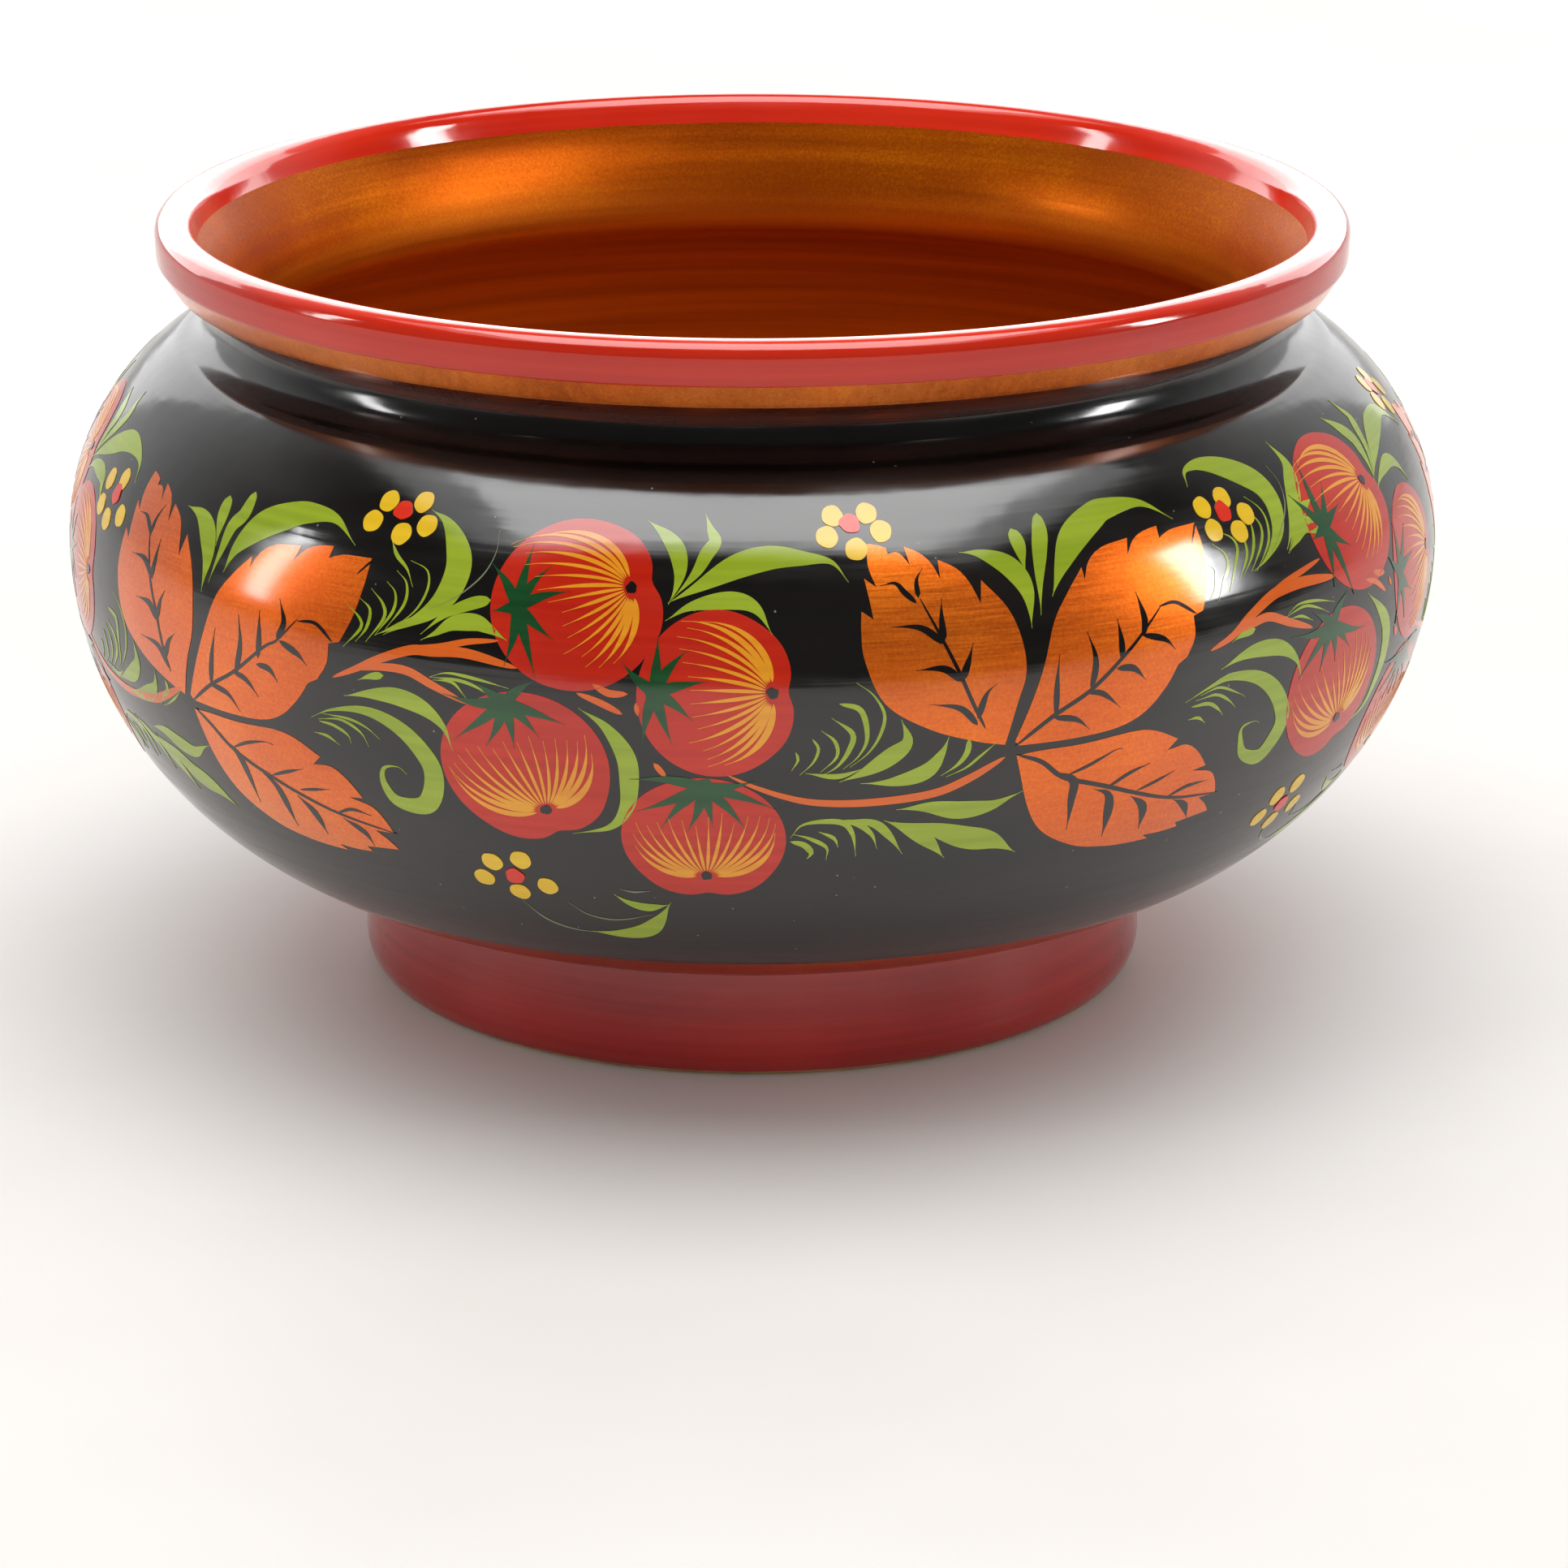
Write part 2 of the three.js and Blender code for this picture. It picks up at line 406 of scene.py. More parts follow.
FILM_GRID = 1.8  # mm between points inside a film, so that it follows the belly


def joined(outlines):
    """Points and triangles of the union of closed outlines on the chart."""
    points, faces = [], []
    for outline in outlines:
        x, y = np.asarray(outline).T
        area = np.dot(x, np.roll(y, -1)) - np.dot(y, np.roll(x, -1))
        ordered = outline if area > 0 else outline[::-1]
        faces.append(list(range(len(points), len(points) + len(ordered))))
        points += [Vector(p) for p in ordered]
    low, high = np.min(points, axis=0), np.max(points, axis=0)
    for row, y in enumerate(np.arange(low[1], high[1], FILM_GRID)):
        for x in np.arange(low[0] + row % 2 * FILM_GRID / 2, high[0], FILM_GRID):
            points.append(Vector((x, y)))
    spots, _, triangles, _, _, sources = delaunay_2d_cdt(points, [], faces, 0, 1e-5)
    kept = [t for t, source in zip(triangles, sources) if source]
    used = sorted({i for t in kept for i in t})
    index = {old: new for new, old in enumerate(used)}
    return np.array([spots[i][:] for i in used]), [[index[i] for i in t] for t in kept]


def film(name, groups, top_depth, material):
    """A closed paint film over each group of outlines, with the belly's own normals on its top."""
    vertices, faces, normals = [], [], []
    for outlines in groups:
        points, triangles = joined(outlines)
        tops, out = wrap(points, top_depth)
        roots, _ = wrap(points, FILM_ROOT)
        start, count = len(vertices), len(points)
        vertices += [*tops, *roots]
        edges = {}
        for a, b, c in triangles:
            faces.append((start + a, start + c, start + b))
            normals += [out[a], out[c], out[b]]
            faces.append((start + count + a, start + count + b, start + count + c))
            normals += [-out[a], -out[b], -out[c]]
            for edge in ((a, b), (b, c), (c, a)):
                if (edge[1], edge[0]) in edges:
                    del edges[edge[1], edge[0]]
                else:
                    edges[edge] = True
        for a, b in edges:
            faces.append((start + a, start + b, start + count + b, start + count + a))
            side = np.cross(tops[b] - tops[a], out[a])
            side /= -max(np.linalg.norm(side), 1e-9)
            normals += [side] * 4
    piece = add_piece(name, vertices, faces, material)
    if len(normals) == len(piece.data.loops):
        piece.data.normals_split_custom_set([tuple(n) for n in normals])


# ---- brush strokes
ROUND, POINT = "round", "point"  # the ends of a stroke
HAIRLINE = 0.06  # mm, the narrowest that a stroke gets


def smooth(points, spacing=0.55):
    """A Catmull-Rom curve through chart points, as points about spacing mm apart."""
    p = np.array(points, float)
    p = np.vstack([2 * p[0] - p[1], p, 2 * p[-1] - p[-2]])
    curve = []
    for a, b, c, d in zip(p, p[1:], p[2:], p[3:]):
        steps = max(2, math.ceil(np.linalg.norm(c - b) / spacing))
        for t in np.arange(steps) / steps:
            bend = (2 * a - 5 * b + 4 * c - d) * t + (3 * (b - c) + d - a) * t * t
            curve.append(b + 0.5 * t * (c - a + bend))
    curve.append(p[-2])
    return np.array(curve)


def swell(t, peak, head, tail):
    """Share of a stroke's full width at each t from 0 to 1 along it."""
    rise = np.clip(t / peak, 0, 1)
    fall = np.clip((1 - t) / (1 - peak), 0, 1)
    start = np.sqrt(1 - (1 - rise) ** 2) if head == ROUND else np.sin(rise * math.pi / 2) ** 1.5
    end = np.sqrt(1 - (1 - fall) ** 2) if tail == ROUND else np.sin(fall * math.pi / 2) ** 1.7
    return start * end


def stroke(points, width, peak=0.5, head=POINT, tail=POINT):
    """Outline of one brush stroke along chart points in mm."""
    line = smooth(points)
    along = np.concatenate([[0], np.cumsum(np.linalg.norm(np.diff(line, axis=0), axis=1))])
    share = swell(along / along[-1], peak, head, tail)
    ahead = np.gradient(line, axis=0)
    ahead /= np.linalg.norm(ahead, axis=1)[:, None]
    side = np.column_stack([-ahead[:, 1], ahead[:, 0]])
    half = side * (np.maximum(width * share, HAIRLINE) / 2)[:, None]
    return np.vstack([line + half, (line - half)[::-1]])


def blob(centre, across, down, rng, wobble=0.05):
    """An uneven oval dab of paint."""
    angles = np.linspace(0, math.tau, 28, endpoint=False)
    phases = [rng.uniform(0, math.tau) for _ in range(3)]
    uneven = 1 + wobble * sum(np.sin(n * angles + p) for n, p in zip((2, 3, 5), phases))
    return np.column_stack(
        [centre[0] + across * uneven * np.cos(angles), centre[1] + down * uneven * np.sin(angles)]
    )


REPEATS = 5  # of the pattern round the bowl, numbered -2 to 2 from the left, with 0 at the front
HAND_STRAY = (0.12, 0.15)  # how far the brush strays from each drawn point, in degrees and in mm


class Repeat:
    """One repeat of the pattern: places chart points drawn in degrees and mm, and collects outlines."""

    def __init__(self, number):
        self.rng = random.Random(100 + number)
        self.turn = 360 / REPEATS * number
        self.shift = (0, 0)
        self.paint = {}

    def at(self, points):
        turn, drop = self.turn + self.shift[0], self.shift[1]
        return [((t + turn) * MM_PER_DEGREE, s + drop) for t, s in points]

    def add(self, colour, outline):
        self.paint.setdefault(colour, []).append(np.asarray(outline))

    def stroke(self, colour, points, width, peak=0.5, head=POINT, tail=POINT):
        drawn = [[x + self.rng.gauss(0, stray) for x, stray in zip(p, HAND_STRAY)] for p in points]
        wide = width * self.rng.uniform(0.93, 1.07)
        self.add(colour, stroke(self.at(drawn), wide, peak, head, tail))

    def strokes(self, colour, rows, **ends):
        for row in rows:
            self.stroke(colour, *row, **ends)


# ---- the pattern, one repeat
# Each leaf is a list of smooth edge runs; two runs meet in a sharp corner, a tooth or a notch.
LEAF_UP_LEFT = [
    [(19.4, 36.2), (17.1, 35.4), (13.4, 33.4), (10, 30), (8.5, 24.8), (8.3, 21.3), (8.4, 18.9)],
    [(9.3, 19.9), (9.05, 17.3), (8.8, 15)],
    [(9.7, 16.1), (9.2, 13.5), (9.3, 10.7)],
    [(9.3, 10.7), (10.1, 10.9), (10.8, 11.3)],
    [(10.9, 12.1), (11.6, 11.9), (12.1, 12.5), (12.6, 13.7)],
    [(12.3, 11.3), (13.4, 12.1), (14.3, 13.5), (14.9, 15.6)],
    [(14.9, 13.2), (16.3, 14.4), (17.2, 16.2), (17.9, 18.9)],
    [(18.2, 16.1), (20, 19.6), (20.9, 23.4), (21.1, 27.5), (20.3, 31.3), (19.4, 36.2)],
]
LEAF_UP_RIGHT = [
    [(20.2, 35.9), (21.4, 31.6), (22.6, 27), (23.75, 22), (25.3, 18.7), (26.95, 16)],
    [(27, 17.5), (27.7, 15.4), (29.2, 13.9), (31.85, 13.3)],
    [(31.4, 15.4), (32.4, 13.6), (33.6, 12.8), (35.05, 12.5)],
    [(34.9, 14.1), (36.2, 13.3), (39, 13.1)],
    [(39, 13.1), (38.9, 16.5), (38.4, 20.3), (37.4, 23.7)],
    [(36.4, 24.1), (36.3, 26.6), (35.4, 28.8)],
    [(34.5, 29.5), (33.3, 32), (31.4, 34.6), (29, 36), (25, 36.5), (20.6, 36.5)],
]
LEAF_DOWN = [
    [(20.4, 37.8), (22.4, 37.5), (26, 37.4), (30.5, 36.9), (32.6, 37.4), (34.9, 39.1)],
    [(34, 40.4), (35.9, 40.2), (37.3, 41.7), (38.4, 43.9)],
    [(37, 44.2), (39.1, 45), (40, 46.7), (40.5, 48.7)],
    [(38.7, 48.8), (39.7, 50.1), (40.4, 51.5)],
    [(40.4, 51.5), (38.6, 51.8), (37, 52.1)],
    [(37.4, 52.9), (35.6, 53.1), (33.8, 53)],
    [(34.5, 53.8), (32.4, 53.8), (30, 53.5), (26.9, 52.4), (23.6, 49.3), (21.8, 45), (20.4, 37.8)],
]
# Strokes: points, width, then where they are widest and their head unless 0.5 and POINT
MIDRIBS = [
    ([(17.7, 33.8), (16.7, 30.7), (15.8, 27.1), (14.6, 23.2), (13.4, 19.2), (12.8, 17.6)], 0.45, 0.2),
    ([(20.3, 36.4), (23.3, 33.4), (26.5, 30.6), (30, 26.6), (31.3, 24.9), (33.3, 22.1)], 0.5, 0.2),
    ([(33.2, 22.2), (34.9, 22.1), (36.6, 23.9)], 0.45, 0.6),
    ([(20.5, 37.7), (22.4, 39.3), (24.6, 41.4), (28.3, 43.8), (34.9, 47.3), (40.6, 48.8)], 0.6, 0.15),
    ([(39, 13.3), (38, 15.3)], 0.3, 0.2),
]
SIDE_VEINS = [
    ([(12.9, 18), (12, 16.8), (11.2, 16), (9.9, 16.1)], 0.75, 0.3),
    ([(12.8, 17.9), (13, 15.8), (13.7, 14.1)], 0.65, 0.2),
    ([(14.6, 23.1), (12.9, 21.3), (10.6, 21.1)], 0.95, 0.25),
    ([(14.5, 22.9), (14.6, 20.2), (14.9, 18)], 0.85, 0.2),
    ([(16, 27.9), (14.5, 26.2), (12.3, 26)], 0.95, 0.25),
    ([(15.9, 27.6), (16.5, 25.1), (17, 23.6)], 0.9, 0.2),
    ([(17.3, 33.3), (15.8, 31.2), (13.3, 30.6)], 0.9, 0.25),
    ([(17.1, 32.4), (17.8, 29.6), (18.7, 28.6)], 0.9, 0.25),
    ([(23.4, 33.4), (23.75, 29.3), (24, 25.8)], 0.8, 0.3),
    ([(26.6, 30.7), (26.95, 27.1), (26.7, 23.5)], 0.85, 0.3),
    ([(29.2, 27.7), (29.4, 25.4), (29.1, 22.2)], 0.85, 0.3),
    ([(31.4, 25.2), (31.8, 23), (31.15, 19.9)], 0.9, 0.3),
    ([(23.3, 33.5), (25.3, 33.9), (26.7, 35.9)], 0.75, 0.35),
    ([(26.3, 30.8), (27.7, 31.3), (29, 33.1)], 0.75, 0.35),
    ([(28.9, 28.7), (30.3, 29), (31.4, 30.6)], 0.85, 0.4),
    ([(31.4, 25.3), (33.3, 26), (34.4, 27.6)], 0.85, 0.4),
    ([(24.9, 41.5), (26.8, 40.2), (29.05, 39), (29.8, 39.1)], 0.45, 0.4),
    ([(28.7, 43.9), (30.7, 42.6), (32.6, 41.6)], 0.5, 0.5),
    ([(31.7, 45.4), (33.5, 44.4), (35, 43.6)], 0.45, 0.5),
    ([(35, 47.2), (36.8, 46.3), (39, 46.3)], 0.5, 0.5),
]
CURVED_VEINS = [
    ([(23.6, 40.6), (25.3, 42.3), (25.8, 44.9), (25.6, 49.4)], 1.15, 0.4),
    ([(27.3, 43.7), (29.05, 45.9), (29.5, 51.5)], 1.3, 0.5),
    ([(31.2, 45.9), (32.6, 48.1), (33.1, 51.7)], 1.2, 0.5),
    ([(35.7, 48), (37.3, 49.4), (37.9, 51.7)], 1, 0.5),
]
TOP_SPRIG = [
    ([(16.8, 12.5), (18.9, 13), (20.7, 15), (21.7, 17.8), (21.8, 22)], 2.9),
    ([(21.6, 9.8), (21.9, 12), (22.1, 14), (22.15, 16.1)], 2, 0.3, ROUND),
    ([(24.3, 8.4), (24.1, 11.2), (23.5, 13.3), (23, 16.8), (22.7, 20.9)], 2.1, 0.25, ROUND),
    ([(24.1, 18.9), (25, 15.3), (26.8, 12), (29.2, 10), (31.2, 9.2), (34.2, 9.2),
      (37.1, 12)], 3.9, 0.36),
]
CROWN_SPRIG = [
    ([(-8.6, 7.6), (-7.2, 9.4), (-5.9, 11.6), (-5.7, 13.7), (-5.9, 15.8), (-6.4, 18)], 2.3, 0.45),
    ([(-4, 6.2), (-3.5, 8.4), (-3.1, 9.9), (-3.6, 11.8), (-4.6, 14.2), (-6.3, 17.4)], 1.8, 0.4),
    ([(-6.4, 17.9), (-4.4, 15.8), (-1.2, 13.4), (1.5, 12.1), (4.1, 12.1), (6.4, 13.3),
      (7.6, 15.8)], 3.3, 0.46),
    ([(-6.6, 19.4), (-4.5, 18), (-1.6, 17.4), (0.2, 18.2), (1.5, 21.3)], 2.1, 0.55),
]
SIDE_FERN = [
    ([(3.2, 35.4), (3.4, 36.4), (2.7, 38.1)], 0.36, 0.3, ROUND),
    ([(4.4, 33.9), (4.9, 35.2), (4.6, 36.9), (3.6, 38.4)], 0.36, 0.3, ROUND),
    ([(5.3, 32.7), (6.3, 34.3), (6.1, 36.2), (5, 38.1)], 0.43, 0.4),
    ([(5.9, 31.5), (7.4, 33.4), (7.4, 35.5), (6.4, 37.6), (5.2, 38.6)], 0.65, 0.4),
    ([(6.5, 29.8), (8.1, 30.8), (8.6, 33.8), (7.9, 36.2), (6.8, 37.8)], 0.68, 0.3, ROUND),
    ([(7.7, 27.5), (9, 28.4), (10, 31), (9.7, 33.8), (8.8, 36.2), (7.4, 37.8)], 0.4),
    ([(4, 38.4), (6.3, 38.8), (8.2, 37.7)], 0.65),
    ([(11.4, 32), (11.7, 34.8), (10.3, 36.8), (8.3, 38.4), (6.6, 39.3)], 2.2, 0.45),
    ([(14.9, 34.5), (14.5, 36.8), (13.2, 38.7), (11, 39.8), (8.3, 40)], 2.1, 0.42),
    ([(16.6, 35.4), (16.5, 36.7), (15.6, 38.2), (14.6, 39.6)], 0.72, 0.2, ROUND),
    ([(18.7, 36), (17.6, 37.4), (16.2, 38.7), (15, 39.6)], 0.36, 0.4),
]
LOW_FERN = [
    ([(2.9, 47.1), (4.1, 45.4), (6.6, 45.2), (7.7, 46.6), (8.2, 50.4)], 0.8, 0.55),
    ([(5.5, 44.9), (7.7, 45.4), (9.2, 47.1), (9.7, 49.6)], 0.9),
    ([(5.2, 46.4), (6.4, 47.3), (6.8, 48.8)], 0.5),
    ([(3.2, 46.8), (4.6, 47.5), (5.6, 48.8), (5.7, 50.8)], 0.6),
    ([(2.9, 47.8), (4.1, 48.5), (4.7, 49.7), (4.5, 50.8)], 0.85, 0.6, ROUND),
    ([(7, 44.5), (9.4, 45.4), (11, 47.3), (12, 50.4)], 1.2),
    ([(11.2, 43.9), (13.6, 43.9), (16.3, 44.4), (18.5, 44.3), (20.2, 43.5), (21.1, 42.7)], 2.5),
    ([(11, 45.4), (14.3, 47), (16.9, 48.8), (19.3, 50.1), (21.6, 52.3)], 3.2, 0.62),
    ([(10, 45.3), (11.8, 46.6), (13.6, 48.7), (15.4, 52)], 1.9, 0.55),
]
ARCH = [
    ([(-27.7, 8.7), (-26, 10), (-24.6, 12.2), (-23.8, 15.4), (-24.2, 18.7), (-25.8, 21.4),
      (-29.5, 25)], 3.7, 0.42),
    ([(-30.1, 25), (-28.2, 23.4), (-26, 21.6), (-25, 20.4)], 1, 0.6),
    ([(-28.4, 15.2), (-26.6, 16.5), (-26.2, 18.5), (-26.8, 21.1), (-28.4, 23.5)], 0.35),
    ([(-29.2, 16.9), (-27.9, 18.5), (-27.8, 20.7), (-29.3, 24.2)], 0.4),
    ([(-30.2, 18.2), (-28.9, 19.7), (-28.8, 21.8), (-30.2, 24.9)], 0.42),
    ([(-31.1, 19.5), (-29.9, 20.9), (-29.8, 22.8), (-31.1, 25.6)], 0.45),
    ([(-32, 20.8), (-30.9, 22), (-30.8, 23.7), (-32, 26.3)], 0.45),
    ([(-32.9, 22.1), (-31.9, 23.1), (-31.8, 24.6), (-32.9, 27)], 0.45),
    ([(-30.4, 13.3), (-29.5, 15.2), (-28.3, 16.8), (-27.4, 18.3)], 0.5, 0.3),
]
# In odd repeats the arch bends right over its flower
HIGH_ARCH = [
    ([(-31.6, 10.1), (-30.8, 8.5), (-28.9, 7.8), (-26.3, 9), (-23.6, 11.7), (-22.8, 14.4),
      (-23.2, 17.5), (-24.5, 19.7), (-26.3, 21.6), (-27.9, 22.5)], 3.7, 0.45),
    ([(-26.1, 13.5), (-24.9, 14.9), (-24.6, 16.9), (-25.3, 19.1), (-26.5, 21), (-27.9, 22.4)], 0.36),
    ([(-26.7, 14.9), (-25.7, 16.4), (-25.6, 18), (-26.3, 19.9), (-28.2, 22.6)], 0.4),
    ([(-27.4, 15.3), (-26.8, 16.7), (-26.9, 18.6), (-27.7, 20.5), (-29.2, 22.8)], 0.42),
    ([(-28.3, 16.7), (-28.1, 18), (-28.5, 20.2), (-30, 23)], 0.42),
    ([(-30.4, 16.4), (-29.3, 17.8), (-29.1, 19.3), (-29.8, 21.3), (-31.2, 24)], 0.46),
    ([(-31.7, 18.2), (-30.6, 19.4), (-30.6, 21), (-31.3, 23), (-32.4, 24.8)], 0.46),
    ([(-32.7, 20.1), (-32, 21.2), (-32.5, 23.2), (-33.3, 24.6)], 0.4),
]
# Beside the berries, the sprig is sometimes a drop with a small leaf and sometimes two pointed leaves
DROPS = [
    ([(-20.6, 18.9), (-22.3, 19.7), (-24, 21.1), (-26.2, 23.9)], 1.5, 0.2, ROUND),
    ([(-18.9, 23.6), (-20.4, 22.3), (-21.8, 21.9), (-23.5, 22.3), (-25, 23.3),
      (-26.2, 24.6)], 2.1, 0.45),
]
POINTED = [
    ([(-18.9, 7.5), (-18.6, 10.9), (-19.4, 13.7), (-20.8, 16.9), (-22.7, 19.7),
      (-23.7, 21.3)], 2.9, 0.45),
    ([(-17.8, 16.1), (-19.5, 17.2), (-21.3, 18.9), (-23.5, 21.3)], 1.5, 0.35),
    ([(-17.6, 22.1), (-18.7, 20.2), (-20.2, 19.3), (-21.8, 20.3), (-23.4, 21.3)], 2.3, 0.45),
]
CURL_FERN = [
    ([(-29, 29.3), (-30.4, 29.8), (-31.6, 30.4)], 0.95, 0.25, ROUND),
    ([(-32.8, 33.2), (-30.4, 32.1), (-28, 31.9), (-25.7, 32.9), (-23.9, 34.8), (-23.2, 37.7)], 2.2),
    ([(-36.2, 36.7), (-34.2, 35.1), (-31.7, 34.4), (-29.3, 34.9), (-27, 36.9), (-25.4, 39.8),
      (-25.1, 42.9), (-25.9, 45.4), (-27.3, 46.4), (-29, 45.7), (-30, 43.5), (-29.6, 41.7),
      (-28.5, 41.2), (-27.6, 41.7)], 2.7, 0.6),
    ([(-35, 35.9), (-32.8, 35.7), (-30.9, 36.6), (-29.9, 37.6)], 0.35),
    ([(-35.3, 36.6), (-33.4, 36.4), (-31.7, 37.4), (-31, 39)], 0.42, 0.6),
    ([(-35.6, 37.1), (-33.9, 37.2), (-32.7, 38.1), (-32.4, 39.4)], 0.45, 0.6, ROUND),
    ([(-35.9, 38.4), (-34.8, 38.6), (-33.7, 39.8)], 0.42),
    ([(-25, 28.7), (-23.2, 28.1), (-21, 28.3), (-18.7, 29.2)], 0.4),
    ([(-25.2, 28.9), (-22.9, 28.7), (-21.2, 29.3), (-19.6, 30.4)], 0.4),
    ([(-24.8, 29.3), (-23.2, 29.5), (-22, 30.6)], 0.4),
]
LONG_LEAF = [
    ([(-13, 30.6), (-11, 32.9), (-9.5, 36.3), (-9.2, 39.8), (-9.7, 43.3), (-11, 46.3),
      (-14.2, 47.7)], 2.5, 0.4),
]
LOW_SPRIG = [
    ([(-11.5, 57.4), (-10.3, 59), (-8.8, 59.8), (-7.2, 59)], 1.5, 0.6),
    ([(-14.6, 66.7), (-11.9, 66.6), (-9.8, 65.3), (-7.9, 62.6), (-6.6, 58.6)], 2.9),
]
TENDRILS = [
    ([(-21.1, 10.4), (-21, 13.3), (-21.8, 16.3), (-23.7, 18.9), (-25.7, 21.1)], 0.18),
    ([(-19.8, 60.7), (-18.5, 64.2), (-16.3, 66.2), (-13.5, 66.8)], 0.35),
    ([(-15.7, 59.9), (-14.6, 62), (-12.7, 63), (-10.7, 62.7), (-8.5, 61.2)], 0.32),
    ([(-11.2, 56.5), (-9.8, 56.9), (-8.6, 56.6)], 0.32),
]
STEMS = [
    ([(-1.8, 38.6), (0.1, 39.7), (2.2, 41.2), (5, 42.3), (9, 42.5), (13.6, 41.8), (16.3, 40.3),
      (19.5, 37.8)], 1.15, 0.8),
    ([(-33.8, 30.7), (-31.7, 29.4), (-29.5, 27.6), (-27, 26.1), (-25.1, 25.5), (-22.1, 25.6),
      (-18, 26.4)], 1.35, 0.65),
    ([(-27.3, 26), (-24.6, 24.8), (-22.1, 24.1), (-19.6, 23.8)], 0.8, 0.5),
    ([(-31.9, 29.2), (-29.5, 28.6), (-27.3, 28.6), (-24.8, 29.9), (-21.9, 31.5)], 1.05, 0.5),
    ([(-13.3, 28.8), (-11.6, 29.8), (-9.8, 31.7)], 0.8, 0.6),
    ([(-12, 28), (-10.8, 28.5), (-9.5, 28.8)], 0.9, 0.5),
    ([(-8.7, 30), (-8.5, 31.2)], 0.6, 0.5),
    ([(-7.4, 37.2), (-6.6, 38.5)], 0.8, 0.5),
]
# Flowers: heart, then petals, all as chart points
CROWN_FLOWER = ((8.1, 7.9), [(6.7, 6.8), (9.6, 6.6), (6.1, 9.6), (10.6, 9.1), (8.4, 11.3)])
LOW_CROWN_FLOWER = ((5.4, 18.7), [(5.7, 16.6), (2.7, 17.7), (2.6, 21.2), (4.9, 22.3), (7.7, 20.8)])
ARCH_FLOWER = ((-30.4, 9.3), [(-32.1, 8.4), (-28.8, 7.8), (-32.9, 11.3), (-27.7, 10.8), (-29.8, 12.3)])
HIGH_ARCH_FLOWER = (
    (-29.5, 12.6), [(-31.5, 11.5), (-28.9, 10.9), (-31.3, 14.6), (-27.1, 13.6), (-28.6, 15.5)],
)
LOW_FLOWER = ((-19.9, 55.8), [(-21.6, 53.7), (-19, 52.8), (-22.8, 56.8), (-17.2, 57.1), (-19.9, 58.8)])
PETAL = 1.42  # radii of the dabs, mm
HEART = 1.32
EYE = (0.72, 0.66)
CALYX_ROOT = 1.2
CALYX_RAY = 1.4  # width of a ray, mm
BERRY_STROKES = 16
STROKE_REACH = (0.52, 0.9)  # away from the eye and sideways, as shares of the berry's radius
STROKE_HOOK = 0.3  # how far the strokes' ends bend back towards the calyx, in the same shares
# Berries: centre on the chart, half width and half height in mm, the way to the dark eye (angle and
# share of the radius), how far the strokes lean to one side, the calyx and its rays as
# (angle, length as a share of the radius); angles in degrees, 0 to the right, 90 up
BERRIES = [
    ((-13.8, 18.3), (10.7, 10.5), (18, 0.67), 0.28, (-18.4, 19.3),
     [(131, 0.52), (84, 0.62), (55, 0.52), (20, 0.46), (-36, 0.47), (-70, 0.68), (-98, 0.52), (-165, 0.25)]),
    ((-2.75, 28.6), (9.3, 10.1), (3, 0.72), 0.1, (-7.3, 28.3),
     [(140, 0.4), (88, 0.58), (53, 0.52), (13, 0.53), (-37, 0.5), (-72, 0.6), (-103, 0.55)]),
    ((-17.6, 39), (10.7, 9.7), (-68, 0.6), -0.1, (-18.9, 30.9),
     [(178, 0.66), (218, 0.62), (246, 0.42), (281, 0.42), (318, 0.45), (345, 0.6), (40, 0.4), (150, 0.35)]),
    ((-3.8, 47.9), (10.1, 9.1), (-88, 0.6), 0.05, (-3.7, 40.1),
     [(175, 0.66), (204, 0.68), (228, 0.6), (252, 0.48), (281, 0.46), (311, 0.55), (341, 0.72), (8, 0.5)]),
]


def heading(angle):
    """A step of 1 mm on the chart, at an angle in radians; 0 is to the right, a quarter turn is up."""
    return np.array([math.cos(angle), -math.sin(angle)])


def leaf(runs):
    """A saw-edged outline from smooth edge runs."""
    return np.vstack([smooth(run, 0.8) for run in runs])


def berry_outline(size, eye_angle, rng):
    """A round berry with a shallow notch beside its eye, about its own centre."""
    angles = np.radians(np.linspace(0, 360, 90, endpoint=False))
    from_eye = (angles - math.radians(eye_angle) + math.pi) % math.tau - math.pi
    notch = 0.075 * np.exp(-((from_eye / 0.16) ** 2))
    shoulders = 0.035 * np.exp(-(((np.abs(from_eye) - 0.55) / 0.3) ** 2))
    uneven = 0.008 * np.sin(3 * angles + rng.uniform(0, math.tau))
    reach = 1 - notch + shoulders + uneven
    return np.column_stack([size[0] * reach * np.cos(angles), -size[1] * reach * np.sin(angles)])


